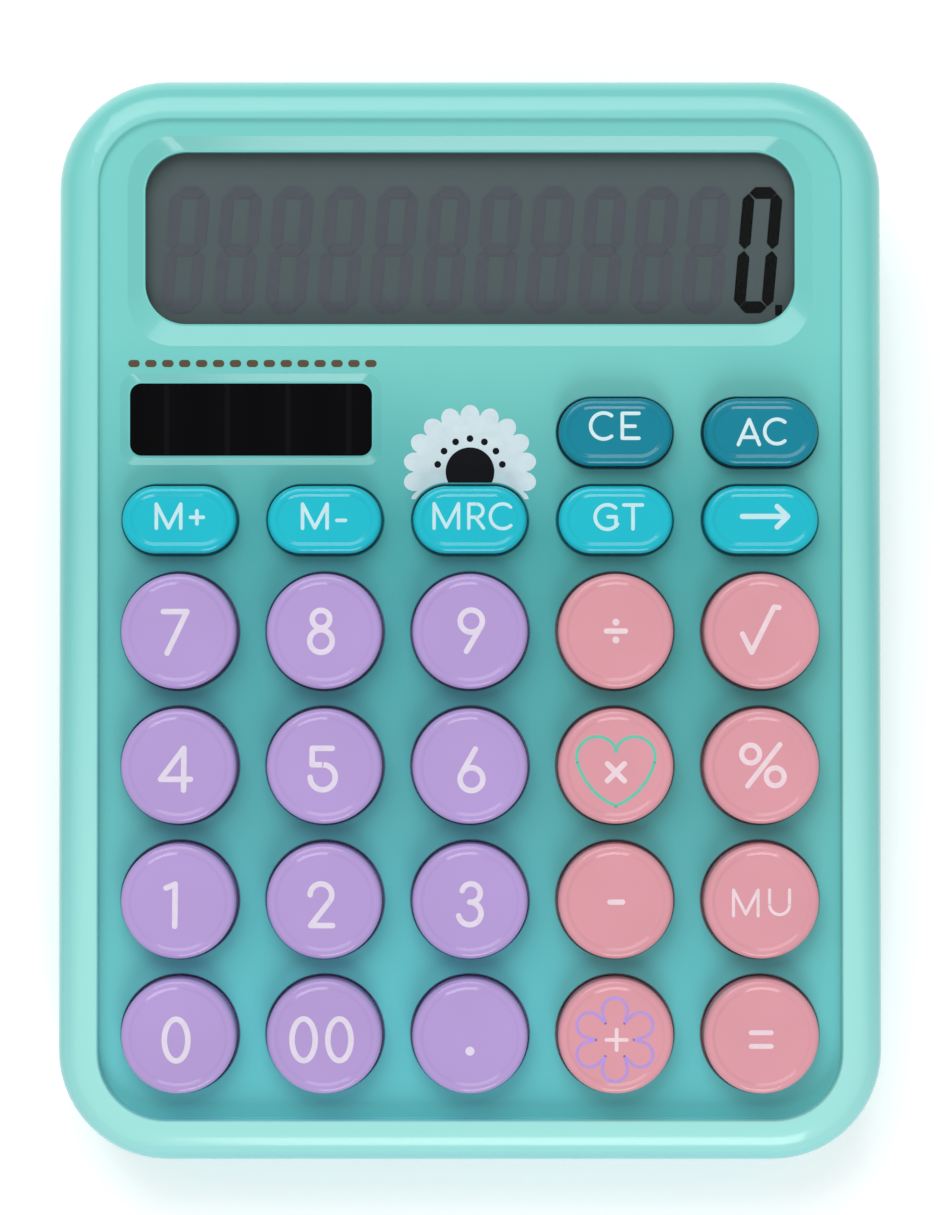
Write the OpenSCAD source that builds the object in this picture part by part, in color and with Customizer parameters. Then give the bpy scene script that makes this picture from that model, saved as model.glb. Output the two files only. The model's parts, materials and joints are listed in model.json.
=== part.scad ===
// Desk calculator with round keys, a wide liquid crystal display and a solar cell.
// Millimetres. +X is to the right, +Y to the rear, +Z up from the table under its feet.
// The upper shell, its keys, the board and the display hang together from the sloping deck,
// and the lower shell closes them in and holds the battery.

/* [Case] */
// Width of the case
body_w = 122; // [118:0.5:150]
// Length of the case along its sloping top
body_l = 160; // [156:0.5:196]
// Corner radius of the case, seen from above
corner_r = 16.2; // [14:0.2:20]
// Room inside the upper shell, from the seam up to the underside of the deck at mid length
deck_room = 9.15; // [9.15:0.05:12]
// Height of the seam above the table at mid length
seam_h = 11.5; // [11:0.5:15]
// Slope of the seam and of the rim, in degrees
case_tilt = 4.5; // [3:0.5:5]
// Width of the raised rim around the deck
rim_w = 6.2; // [5.4:0.2:7.4]
// Radius of the rim's outer top edge
rim_r = 5.2; // [3:0.2:6.2]
// Thickness of the side walls
wall = 2.2; // [1.8:0.1:2.6]
// Thickness of the floor
floor_t = 2; // [1.8:0.1:2.6]
// Radius along the bottom edge of the lower shell
base_r = 3; // [2:0.5:4]
// How far the lower shell's walls lean in towards the floor
draft = 1.6; // [0.8:0.1:2]

/* [Deck] */
// Thickness of the deck around the keys
deck_t = 2; // [1.6:0.1:2.6]
// Depth of the deck below the rim at mid length
deck_sink = 1.85; // [1.6:0.05:2.4]
// How much steeper the deck is than the rim, in degrees
deck_dip = 0.9; // [0:0.1:1]

/* [Keys] */
// Diameter of a round key
key_d = 16.9; // [13.5:0.1:17.1]
// Width of a long key
pill_w = 16.7; // [13.5:0.1:17]
// Height of a long key, seen from above
pill_h = 9.9; // [8:0.1:10.2]
// From the side of the deck to the middle of the outer keys
key_margin_x = 12; // [11.5:0.1:14]
// From the front of the deck to the middle of the first row
key_margin_y = 12.6; // [12:0.1:14]
// From one row of round keys to the next
row_pitch = 19.8; // [19.7:0.05:20.3]
// From the last round row to the first row of long keys
pill_row_gap = 16.4; // [16.3:0.1:17.2]
// From the first row of long keys to the second
pill_pitch = 12.9; // [12.8:0.1:13.3]
// How far a round key stands above the deck
key_rise = 4.2; // [3:0.1:5]
// How far a long key stands above the deck
pill_rise = 3.2; // [2.4:0.1:4]
// How far a key goes down when pressed
key_travel = 1.2; // [0.8:0.1:1.2]
// Gap between a key and its opening
key_gap = 0.35; // [0.3:0.05:0.45]

/* [Display] */
// From the side of the deck to the display opening
lcd_margin_x = 6.7; // [6.7:0.1:9]
// From the rear of the deck to the display opening
lcd_margin_y = 4.65; // [4:0.05:5]
// Height of the display opening
lcd_h = 25.5; // [22:0.1:26]
// Corner radius of the display opening
lcd_r = 6; // [3:0.5:8]
// Thickness of the display glass
lcd_t = 2.5; // [2:0.1:2.6]

/* [Solar cell] */
// Width of the window over the solar cell
solar_w = 35.8; // [30:0.1:36]
// Height of the window over the solar cell
solar_h = 10.7; // [9:0.1:11]
// From the side of the deck to the solar window
solar_margin_x = 4.5; // [4.4:0.1:8]
// From the second row of long keys back to the middle of the solar window
solar_ahead = 2; // [1:0.1:2.4]

/* [Battery] */
// Length of the battery cell
cell_l = 44.5; // [40:0.5:50]
// Diameter of the battery cell
cell_d = 10.5; // [9:0.1:10.6]
// Distance of the battery's middle line behind the centre of the case
cell_y = 50; // [46:0.5:52]

/* [Feet and screws] */
// Diameter of a rubber foot
foot_d = 10; // [8:0.5:12]
// How far a foot stands out of the floor
foot_rise = 1.2; // [1:0.1:2]
// Diameter of the shank of a case screw
case_screw_d = 2.2; // [2:0.1:2.6]
// Diameter of the shank of a board screw
board_screw_d = 1.8; // [1.6:0.1:2]

/* [Hidden] */
$fn = 96;
hull_fn = 32;
skin = 0.01;

// Deck outline, and the frame that it sets
deck_w = body_w - 2 * rim_w;
deck_l = body_l - 2 * rim_w;
deck_r = corner_r - rim_w;
deck_level = deck_room + deck_t;
case_h = deck_level + deck_sink;
front_reach = (body_l / 2 - rim_r) * cos(case_tilt) + (case_h - rim_r) * sin(case_tilt) + rim_r;
rear_reach = body_l / 2 * cos(case_tilt);
case_shift = (front_reach - rear_reach) / 2;

// Keys: rows are numbered from the front, 0 to 3 round and 4 and 5 long
columns = 5;
pitch_x = (deck_w - 2 * key_margin_x) / (columns - 1);
row_0 = -deck_l / 2 + key_margin_y;
row_4 = row_0 + 3 * row_pitch + pill_row_gap;
row_y = [row_0, row_0 + row_pitch, row_0 + 2 * row_pitch, row_0 + 3 * row_pitch, row_4, row_4 + pill_pitch];
key_edge = 0.9;
key_wall = 1.2;
key_catch = 0.8;
key_catch_t = 1.1;
key_slack = 0.1;
dish_depth = 0.25;
dish_slope = 0.45;
dish_rim = 1.15;
post_r = 2.2;
pill_post_r = 1.5;
catch_bottom = -deck_t - key_slack - key_catch_t;
plunger_drop = 1.8;
plunger_bottom = catch_bottom - plunger_drop;

// Layers under the deck
dome_h = 2;
dome_top_t = 0.8;
dome_r = 4.6;
dome_top_r = 2.9;
dome_wall = 0.7;
sheet_t = 1;
pill_t = 0.3;
pill_r = 1.5;
sheet_top = plunger_bottom - dome_h;
board_top = sheet_top - sheet_t;
board_t = 1.6;
board_bottom = board_top - board_t;
nub_bottom = board_top + key_travel + pill_t;

// Display stack
lcd_w = deck_w - 2 * lcd_margin_x;
lcd_y = deck_l / 2 - lcd_margin_y - lcd_h / 2;
pocket_ledge = 0.3;
lcd_sink = 1.2;
lcd_slope = 2.2;
lcd_slope_front = 3;
lcd_slope_rear = 1.9;
lens_under = 0.4;
lens_seat = deck_t + lens_under;
lens_t = 1;
lens_lap = 1.7;
glass_lap = [0.7, 1.5];
frame_wall = 1.5;
frame_gap = 0.1;
glass_top = -lens_seat - lens_t;
glass_bottom = glass_top - lcd_t;
shelf_t = 1.2;
zebra_w = 2.2;
zebra_y = lcd_y - lcd_h / 2;
glass_size = [lcd_w + 2 * glass_lap.x, lcd_h + 2 * glass_lap.y];
frame_size = glass_size + 2 * (frame_wall + frame_gap) * [1, 1];

// Solar stack
solar_size = [solar_w, solar_h];
solar_x = -deck_w / 2 + solar_margin_x + solar_w / 2;
solar_y = row_y[5] + solar_ahead;
solar_r = 1.7;
solar_sink = 0.6;
solar_slope = 1.1;
solar_cell_t = 1.1;
solar_lap = 0.9;
solar_gap = 0.1;
solar_lead_r = 0.45;

// Board fixings: four between the keys, two beside the display, one above the keys
board_boss_r = 2.2;
boss_gap = 0.6;
boss_back = 5;
board_head_r = 1.7;
board_head_t = 1.1;
board_fixings = concat(
    [for (side = [-1, 1], row = [0.5, 2.5]) [side * 1.5 * pitch_x, row_0 + row * row_pitch]],
    [for (side = [-1, 1]) [side * (frame_size.x / 2 + board_boss_r + boss_gap), lcd_y + boss_back]],
    [[0, solar_y]]
);
board_gap_x = 5;
board_gap_y = 7;

// Case screws, in the frame of the seam
pillar_r = 3.6;
well_r = 2.6;
case_head_r = 2.2;
case_head_t = 1.5;
case_boss_r = 2.6;
boss_foot = 1;
seat_t = 3;
case_screw_l = 9;
screw_slack = 0.02;
shank_slack = 0.3;
corner_in = 9.2;
side_in = 7.5;
fixing_ahead = 2.4;
case_fixings = concat(
    [for (side = [-1, 1]) [side * (body_w / 2 - corner_in), -body_l / 2 + corner_in]],
    [for (side = [-1, 1]) [side * (body_w / 2 - side_in), lcd_y - frame_size.y / 2 - fixing_ahead]]
);

// Seam: the lower shell is a little smaller, and its lip stands inside the upper one
seam_step = 0.25;
lip_gap = 0.15;
lip_t = 1.2;
lip_h = 1.2;
hook_x = 30;
hook_w = 9;
hook_h = 2.8;
hook_bite = 0.6;
hook_t = 1.6;

// Battery bay, along X
cell_clear = 0.4;
door_t = 1.6;
door_gap = 0.2;
bay_wall = 1.4;
contact_t = 0.4;
spring_l = 5.2;
bay_l = cell_l + spring_l + 2 * contact_t;
bay_w = cell_d + 4.5;
cell_z = foot_rise + door_t + cell_clear + cell_d / 2;
bay_top = cell_z + cell_d / 2 + 0.3;
hinge_y = cell_y - bay_w / 2 + door_gap;
tongue_x = bay_l / 2 - 10;
tongue_w = 6;
tongue_reach = 1.6;
tongue_t = 1;
tongue_gap = 0.15;
tongue_bottom = foot_rise + floor_t + tongue_gap;
nub_l = 1;
nub_r = 1.9;
spring_wire_r = 0.35;
spring_turns = 4;
contact_w = 8;
tab_w = 2;
battery_lead_r = 0.6;
lead_gap = 0.08;

foot_sink = 0.8;
foot_edge = 0.5;
foot_slack = 0.05;
foot_at = [44, 61];

// Two low bumps on the rear edge of the battery door hold it shut
bump_r = 0.4;
bump_l = 4;
bump_out = 0.12;
bump_x = 12;
bump_up = 0.8;

key_body = "orchid";
key_op = "pink";
key_memory = "deepskyblue";
key_clear = "teal";

// Every key: name, column and row counted from the middle and from the front, colour
KEYS = [
    ["key_0", -2, 0, key_body], ["key_00", -1, 0, key_body], ["key_point", 0, 0, key_body],
    ["key_plus", 1, 0, key_op], ["key_equals", 2, 0, key_op],
    ["key_1", -2, 1, key_body], ["key_2", -1, 1, key_body], ["key_3", 0, 1, key_body],
    ["key_minus", 1, 1, key_op], ["key_markup", 2, 1, key_op],
    ["key_4", -2, 2, key_body], ["key_5", -1, 2, key_body], ["key_6", 0, 2, key_body],
    ["key_multiply", 1, 2, key_op], ["key_percent", 2, 2, key_op],
    ["key_7", -2, 3, key_body], ["key_8", -1, 3, key_body], ["key_9", 0, 3, key_body],
    ["key_divide", 1, 3, key_op], ["key_root", 2, 3, key_op],
    ["key_memory_plus", -2, 4, key_memory], ["key_memory_minus", -1, 4, key_memory],
    ["key_memory_recall", 0, 4, key_memory], ["key_grand_total", 1, 4, key_memory],
    ["key_backspace", 2, 4, key_memory],
    ["key_clear_entry", 1, 5, key_clear], ["key_clear_all", 2, 5, key_clear]
];
function key_at(k) = [k[1] * pitch_x, row_y[k[2]]];
function is_pill(k) = k[2] >= 4;

// ---- frames ----

// Seam plane: X across, Y up the slope, Z square to the seam
module case_frame() {
    translate([0, case_shift, seam_h]) rotate([case_tilt, 0, 0]) children();
}

// Deck plane: Z = 0 is the top of the deck, and the keys move along its Z
module deck_frame() {
    case_frame() translate([0, 0, deck_level]) rotate([deck_dip, 0, 0]) children();
}

// Height above the table of a point on the case frame, and of the board's underside
function seam_z(y) = seam_h + y * sin(case_tilt);
function board_under_z(y) = seam_z(y) + deck_level + board_bottom + y * sin(deck_dip);

// ---- shapes ----

module rounded_rect(size, r) {
    square([size.x - 2 * r, size.y], center = true);
    square([size.x, size.y - 2 * r], center = true);
    for (sx = [-1, 1], sy = [-1, 1])
        translate([sx * (size.x / 2 - r), sy * (size.y / 2 - r)]) circle(r);
}

module plate(size, r, bottom, top) {
    translate([0, 0, bottom]) linear_extrude(top - bottom) rounded_rect(size, r);
}

module block(size, bottom, top) {
    translate([-size.x / 2, -size.y / 2, bottom]) cube([size.x, size.y, top - bottom]);
}

module disc(r, bottom, top) {
    translate([0, 0, bottom]) cylinder(r = r, h = top - bottom);
}

// One side of a block with a rounded top edge, from its middle line out to half
module edge_profile(half, height, r) {
    square([half, height - r]);
    square([half - r, height]);
    translate([half - r, height - r]) circle(r);
}

// A plate with rounded corners whose top edge is rounded all the way round
module pillow(size, corner, height, r) {
    for (sx = [-1, 1], sy = [-1, 1])
        translate([sx * (size.x / 2 - corner), sy * (size.y / 2 - corner), 0])
            rotate_extrude() edge_profile(corner, height, r);
    rotate([90, 0, 90]) linear_extrude(size.x - 2 * corner, center = true)
        both_sides() edge_profile(size.y / 2, height, r);
    rotate([90, 0, 0]) linear_extrude(size.y - 2 * corner, center = true)
        both_sides() edge_profile(size.x / 2, height, r);
}

module both_sides() {
    children();
    mirror([1, 0]) children();
}

// Sweeps a half profile round a long hole shape with a straight part of the given run
module round_sweep(run) {
    if (run <= 0) {
        rotate_extrude() children();
    } else {
        for (side = [-1, 1])
            translate([side * run / 2, 0, 0]) rotate([0, 0, -90 * side])
                rotate_extrude(angle = 180) children();
        rotate([90, 0, 90]) linear_extrude(run, center = true) both_sides() children();
    }
}

// A pocket whose walls slope out by different amounts at the sides, front and rear,
// with a narrow flat ledge round the opening in its floor
module sloped_pocket(opening, opening_r, depth, side, front, rear) {
    size = opening + 2 * pocket_ledge * [1, 1];
    r = opening_r + pocket_ledge;
    hull() {
        plate(size, r, -depth, -depth + skin, $fn = hull_fn);
        translate([0, (rear - front) / 2, 0])
            plate(size + [2 * side, front + rear], r + side, 0, 1, $fn = hull_fn);
    }
}

// ---- wires: a round tube swept along a list of points ----

function unit(v) = v / norm(v);
function tangent(p, i) = unit(p[min(i + 1, len(p) - 1)] - p[max(i - 1, 0)]);
function tube_ring(p, t, r, sides) =
    let (across = unit(cross(t, [1, 0, 0])), rise = cross(across, t))
    [for (k = [0:sides - 1]) p + r * (cos(360 * k / sides) * across + sin(360 * k / sides) * rise)];
function curve_point(a, b, c, d, u) =
    0.5 * (2 * b + (c - a) * u + (2 * a - 5 * b + 4 * c - d) * u * u + (3 * b - a - 3 * c + d) * u * u * u);
function smooth(p, steps) = concat(
    [for (i = [0:len(p) - 2], s = [0:steps - 1])
        curve_point(p[max(i - 1, 0)], p[i], p[i + 1], p[min(i + 2, len(p) - 1)], s / steps)],
    [p[len(p) - 1]]
);

module tube(path, r, sides = 8) {
    n = len(path);
    points = [for (i = [0:n - 1]) each tube_ring(path[i], tangent(path, i), r, sides)];
    walls = [for (i = [0:n - 2], k = [0:sides - 1])
        let (a = i * sides + k, b = i * sides + (k + 1) % sides)
        each [[a, b, b + sides], [a, b + sides, a + sides]]];
    near_end = [[for (k = [0:sides - 1]) sides - 1 - k]];
    far_end = [[for (k = [0:sides - 1]) (n - 1) * sides + k]];
    polyhedron(points, concat(walls, near_end, far_end));
}

// ---- upper shell ----

module key_opening(k) {
    r = (is_pill(k) ? pill_h : key_d) / 2 + key_gap;
    run = is_pill(k) ? pill_w - pill_h : 0;
    translate([for (c = key_at(k)) c]) {
        for (side = run > 0 ? [-1, 1] : [0]) translate([side * run / 2, 0, 0]) disc(r, -deck_t - 1, 1);
        if (run > 0) block([run, 2 * r], -deck_t - 1, 1);
    }
}

module case_cavity() {
    difference() {
        case_frame()
            plate([body_w - 2 * wall, body_l - 2 * wall], corner_r - wall, -1, case_h - wall);
        deck_frame() block([2 * body_w, 2 * body_l], -deck_t, 2 * case_h);
    }
}

module case_bosses() {
    for (p = case_fixings)
        case_frame() translate(p)
            disc(case_boss_r, boss_foot, deck_level + p.y * sin(deck_dip) - deck_t / 2);
    for (p = board_fixings)
        deck_frame() translate(p) disc(board_boss_r, board_top, -deck_t / 2);
    deck_frame() translate([0, lcd_y, 0])
        plate(frame_size + [2, 2], lcd_r, -lens_seat, -deck_t / 2);
}

module front_case() {
    color("mediumaquamarine") difference() {
        union() {
            difference() {
                case_frame() pillow([body_w, body_l], corner_r, case_h, rim_r);
                case_cavity();
            }
            case_bosses();
        }
        deck_frame() {
            plate([deck_w, deck_l], deck_r, 0, case_h);
            for (k = KEYS) key_opening(k);
            translate([0, lcd_y, 0]) {
                sloped_pocket([lcd_w, lcd_h], lcd_r, lcd_sink, lcd_slope, lcd_slope_front, lcd_slope_rear);
                plate([lcd_w, lcd_h], lcd_r, -lens_seat - 1, 0);
            }
            translate([solar_x, solar_y, 0]) {
                sloped_pocket(solar_size, solar_r, solar_sink, solar_slope, solar_slope, solar_slope);
                plate(solar_size, solar_r, -deck_t - 1, 0);
            }
            for (p = board_fixings)
                translate(p) disc(board_screw_d / 2 + screw_slack, board_top - 1, -deck_t - 0.4);
        }
        case_frame() {
            for (p = case_fixings)
                translate(p)
                    disc(case_screw_d / 2 + screw_slack, 0, case_screw_l - seat_t + boss_foot + 0.5);
            for (side = [-1, 1])
                translate([side * hook_x, body_l / 2 - wall - 0.5, 0])
                    block([hook_w + 1, 2 * hook_bite + 1.4], lip_h + 0.8, lip_h + hook_h + 0.3);
        }
    }
}

// ---- keys ----

module key_section(r, top, post) {
    difference() {
        union() {
            translate([0, catch_bottom]) square([r + key_gap + key_catch, key_catch_t]);
            translate([0, catch_bottom]) edge_profile(r, top - catch_bottom, key_edge);
        }
        translate([post, catch_bottom - 1])
            square([r - key_wall - post, top - key_wall - dish_depth - catch_bottom + 1]);
        polygon([
            [-1, top - dish_depth], [r - dish_rim - dish_slope, top - dish_depth],
            [r - dish_rim, top], [r - dish_rim, top + 1], [-1, top + 1]
        ]);
    }
    translate([0, plunger_bottom]) square([post, plunger_drop + key_catch_t]);
}

module key(k) {
    r = (is_pill(k) ? pill_h : key_d) / 2;
    color(k[3]) deck_frame() translate([for (c = key_at(k)) c])
        round_sweep(is_pill(k) ? pill_w - pill_h : 0)
            key_section(r, is_pill(k) ? pill_rise : key_rise, is_pill(k) ? pill_post_r : post_r);
}

// ---- keypad, board and what they carry ----

sheet_margin = 1.6;
sheet_rear = row_y[5] + dome_r + sheet_margin;
sheet_front = row_0 - dome_r - 4 * sheet_margin;
sheet_size = [(columns - 1) * pitch_x + 2 * (dome_r + 3 * sheet_margin), sheet_rear - sheet_front];

module keypad_membrane() {
    color("whitesmoke") deck_frame() difference() {
        union() {
            translate([0, (sheet_rear + sheet_front) / 2, 0]) plate(sheet_size, 3, board_top, sheet_top);
            for (k = KEYS) translate([for (c = key_at(k)) c]) translate([0, 0, sheet_top - skin])
                cylinder(r1 = dome_r, r2 = dome_top_r, h = dome_h + skin);
        }
        for (k = KEYS) translate([for (c = key_at(k)) c]) difference() {
            translate([0, 0, board_top - skin])
                cylinder(
                    r1 = dome_r - dome_wall,
                    r2 = dome_top_r - dome_wall,
                    h = dome_h + sheet_t - dome_top_t
                );
            disc(pill_r, nub_bottom, plunger_bottom);
        }
        for (p = board_fixings) translate(p) disc(board_boss_r + 0.4, board_top - 1, sheet_top + 1);
        for (p = case_fixings) translate(p) disc(case_boss_r + 0.8, board_top - 1, sheet_top + 1);
        translate([-body_w / 2, row_y[4] + dome_r + sheet_margin, board_top - 1])
            cube([body_w / 2 + pitch_x / 2, body_l, sheet_t + 2]);
    }
}

module contact_pills() {
    color("dimgray") deck_frame() for (k = KEYS)
        translate([for (c = key_at(k)) c]) disc(pill_r, nub_bottom - pill_t, nub_bottom);
}

module circuit_board() {
    color("darkgreen") deck_frame() difference() {
        plate([body_w - 2 * board_gap_x, body_l - 2 * board_gap_y], deck_r, board_bottom, board_top);
        for (p = board_fixings)
            translate(p) disc(board_screw_d / 2 + shank_slack, board_bottom - 1, board_top + 1);
        for (p = case_fixings) translate(p) disc(pillar_r + 1, board_bottom - 1, board_top + 1);
    }
}

chip_r = 7;
chip_h = 1.9;
chip_ball = (chip_r * chip_r + chip_h * chip_h) / (2 * chip_h);

module chip_blob() {
    color("black") deck_frame() translate([0, row_0 + 1.5 * row_pitch, board_bottom]) intersection() {
        translate([0, 0, chip_ball - chip_h]) sphere(chip_ball);
        disc(chip_r + 1, -chip_h - 1, 0);
    }
}

module lying_part(r, l, at) {
    translate([at.x, at.y, board_bottom - r]) {
        rotate([0, 90, 0]) cylinder(r = r, h = l, center = true);
        for (side = [-1, 1]) {
            translate([side * (l / 2 + 0.8), 0, -0.3]) cylinder(r = 0.3, h = r + 0.3);
            translate([side * (l / 2 + 0.4), 0, 0]) rotate([0, 90, 0])
                cylinder(r = 0.3, h = 1, center = true);
        }
    }
}

module board_parts() {
    color("goldenrod") deck_frame() {
        lying_part(2.5, 7, [20, row_0 + 2.5 * row_pitch]);
        for (i = [0:2]) lying_part(1.1, 4.5, [-18, row_0 + (2.3 + 0.25 * i) * row_pitch]);
    }
}

module board_screws() {
    color("silver") deck_frame() for (p = board_fixings) translate([p.x, p.y, board_bottom]) difference() {
        union() {
            disc(board_head_r, -board_head_t, 0);
            disc(board_screw_d / 2, 0, 5);
        }
        cross_slot(board_head_r, -board_head_t);
    }
}

module cross_slot(head_r, bottom) {
    for (turn = [0, 90]) rotate([0, 0, turn]) block([1.3 * head_r, 0.3 * head_r], bottom - 1, bottom + 0.6);
}

// ---- display ----

module display_window() {
    color("dimgray") deck_frame() translate([0, lcd_y, 0])
        plate([lcd_w + 2 * lens_lap, lcd_h + 2 * lens_lap], lcd_r + lens_lap, glass_top, -lens_seat);
}

module lcd_glass() {
    color("slategray") deck_frame() translate([0, lcd_y, 0]) block(glass_size, glass_bottom, glass_top);
}

module lcd_frame() {
    color("lightgray") deck_frame() difference() {
        translate([0, lcd_y, 0]) plate(frame_size, 1, board_top, glass_top);
        translate([0, lcd_y, 0]) block(glass_size + 2 * frame_gap * [1, 1], glass_bottom, glass_top + 1);
        translate([0, lcd_y, 0])
            block(glass_size - [4, 2 * zebra_w + 4], board_top - 1, glass_bottom - shelf_t);
        translate([0, zebra_y, 0])
            block([glass_size.x - 4, zebra_w + 2 * frame_gap], board_top - 1, glass_bottom + 1);
    }
}

module zebra_strip() {
    color("hotpink") deck_frame() translate([0, zebra_y, 0])
        block([glass_size.x - 4 - 2 * frame_gap, zebra_w], board_top, glass_bottom);
}

// ---- solar cell ----

module solar_window() {
    color("black") deck_frame() translate([solar_x, solar_y, 0])
        plate(solar_size - 2 * solar_gap * [1, 1], solar_r - solar_gap, -deck_t, -solar_sink - solar_gap);
}

module solar_cell() {
    color("black") deck_frame() translate([solar_x, solar_y, 0])
        block(solar_size + 2 * solar_lap * [1, 1], -deck_t - solar_cell_t, -deck_t);
}

module solar_leads() {
    color("red") deck_frame() for (side = [-1, 1])
        translate([solar_x + side * (solar_w / 2 - 2), solar_y, 0])
            disc(solar_lead_r, board_top, -deck_t - solar_cell_t);
}

// ---- lower shell ----

module tub(inset, floor_z, r, top) {
    hull() {
        case_frame()
            plate([body_w, body_l] - 2 * inset * [1, 1], corner_r - inset, top - skin, top, $fn = hull_fn);
        for (a = [0:22.5:90]) {
            in = inset + draft + r * (1 - cos(a));
            plate([body_w - 2 * in, 2 * rear_reach - 2 * in], corner_r - in,
                floor_z + r * (1 - sin(a)), floor_z + r * (1 - sin(a)) + skin, $fn = hull_fn);
        }
    }
}

module lip() {
    outer = [body_w, body_l] - 2 * (wall + lip_gap) * [1, 1];
    outer_r = corner_r - wall - lip_gap;
    case_frame() {
        difference() {
            plate(outer, outer_r, -2, lip_h);
            plate(outer - 2 * lip_t * [1, 1], outer_r - lip_t, -3, lip_h + 1);
        }
        for (side = [-1, 1]) translate([side * hook_x, outer.y / 2, 0]) {
            translate([0, -lip_t / 2, 0]) block([hook_w, lip_t], 0, lip_h + hook_h);
            translate([0, hook_bite / 2 - skin, 0])
                block([hook_w, hook_bite], lip_h + hook_h - hook_t, lip_h + hook_h);
        }
    }
}

// The bottom edge's radius is limited by the wall at the front, where the seam is lowest
base_fillet = min(base_r, seam_z(-body_l / 2) - foot_rise - 1);

// Depth, square to the seam, at which a pillar ends inside the floor
function floor_w(p) = (foot_rise + floor_t / 2 - seam_z(p.y)) / cos(case_tilt);

module bay_shell() {
    translate([0, cell_y, 0])
        block([bay_l + 2 * bay_wall, bay_w + 2 * bay_wall], foot_rise + floor_t / 2, bay_top + bay_wall);
}

module bay_space() {
    translate([0, cell_y, 0]) {
        block([bay_l, bay_w], foot_rise - 1, bay_top);
        for (side = [-1, 1]) translate([side * (bay_l - contact_t) / 2, 0, 0])
            block([contact_t + 0.8, tab_w + 0.4], bay_top - 1, bay_top + bay_wall + 1);
        translate([0, bay_w / 2, 0]) disc(4, foot_rise - 1, foot_rise + 0.7);
    }
    for (side = [-1, 1])
        translate([side * tongue_x, hinge_y - 1.5, 0])
            block([tongue_w + 0.6, 4], foot_rise + floor_t, foot_rise + floor_t + 2.4);
}

module back_cover() {
    color("mediumaquamarine") difference() {
        union() {
            difference() {
                tub(seam_step, foot_rise, base_fillet, 0);
                tub(seam_step + wall, foot_rise + floor_t, base_fillet / 2, 0.5);
            }
            lip();
            for (p = case_fixings) case_frame() translate(p) disc(pillar_r, floor_w(p), boss_foot);
            bay_shell();
        }
        bay_space();
        case_frame() for (p = case_fixings) translate(p) {
            disc(well_r, floor_w(p) - floor_t - 2, boss_foot - seat_t);
            disc(case_screw_d / 2 + shank_slack, boss_foot - seat_t - 1, boss_foot + 1);
        }
        for (sx = [-1, 1], sy = [-1, 1])
            translate([sx * foot_at.x, sy * foot_at.y, 0])
                disc(foot_d / 2, foot_rise - 1, foot_rise + foot_sink);
    }
}

module case_screws() {
    color("silver") case_frame() for (p = case_fixings) translate([p.x, p.y, boss_foot - seat_t])
        difference() {
            union() {
                disc(case_head_r, -case_head_t, 0);
                disc(case_screw_d / 2, 0, case_screw_l - 1);
                translate([0, 0, case_screw_l - 1]) cylinder(r1 = case_screw_d / 2, r2 = 0.3, h = 1);
            }
            cross_slot(case_head_r, -case_head_t);
        }
}

module rubber_feet() {
    color("dimgray") for (sx = [-1, 1], sy = [-1, 1])
        translate([sx * foot_at.x, sy * foot_at.y, foot_rise + foot_sink]) mirror([0, 0, 1])
            rotate_extrude() edge_profile(foot_d / 2 - foot_slack, foot_rise + foot_sink, foot_edge);
}

// ---- battery ----

module battery_door() {
    plate_size = [bay_l - 2 * door_gap, bay_w - 2 * door_gap];
    bump_y = cell_y + plate_size.y / 2 + bump_out - bump_r;
    color("mediumaquamarine") difference() {
        union() {
            translate([0, cell_y, 0]) plate(plate_size, 1, foot_rise, foot_rise + door_t);
            for (side = [-1, 1])
                translate([side * bump_x, bump_y, foot_rise + bump_up]) rotate([0, 90, 0])
                    cylinder(r = bump_r, h = bump_l, center = true);
            for (side = [-1, 1]) translate([side * tongue_x, 0, 0]) {
                translate([0, hinge_y + 0.6, 0])
                    block([tongue_w, 1.2], foot_rise + door_t - skin, tongue_bottom + tongue_t);
                translate([0, hinge_y + (1.2 - tongue_reach - door_gap) / 2, 0])
                    block([tongue_w, 1.2 + tongue_reach + door_gap],
                        tongue_bottom, tongue_bottom + tongue_t);
            }
        }
        for (i = [0:2]) translate([0, cell_y + bay_w / 2 - 3 - 1.6 * i, 0])
            block([10 - 2 * i, 0.8], foot_rise - 1, foot_rise + 0.4);
    }
}

// The cell's plus end points to +X, against a flat plate, and the spring is at -X
cell_end = bay_l / 2 - contact_t;

module battery_cell() {
    color("black") translate([cell_end, cell_y, cell_z]) rotate([0, -90, 0]) {
        cylinder(r = nub_r, h = nub_l + 0.5);
        translate([0, 0, nub_l]) cylinder(r = cell_d / 2, h = cell_l - nub_l);
    }
}

module contact_plates() {
    color("silver") for (side = [-1, 1])
        translate([side * (bay_l - contact_t) / 2, cell_y, 0]) {
            block([contact_t, contact_w], foot_rise + door_t + 0.6, bay_top - 0.2);
            block([contact_t, tab_w], bay_top - 1, bay_top + bay_wall + 1.2);
        }
}

module battery_spring() {
    steps = 14 * spring_turns;
    start = -bay_l / 2 + contact_t + spring_wire_r;
    reach = spring_l - 2 * spring_wire_r;
    color("silver") tube([for (i = [0:steps])
        let (u = i / steps, r = 3.6 - 1.8 * u, a = 360 * spring_turns * u)
        [start + reach * u, cell_y + r * cos(a), cell_z + r * sin(a)]], spring_wire_r, 6);
}

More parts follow.
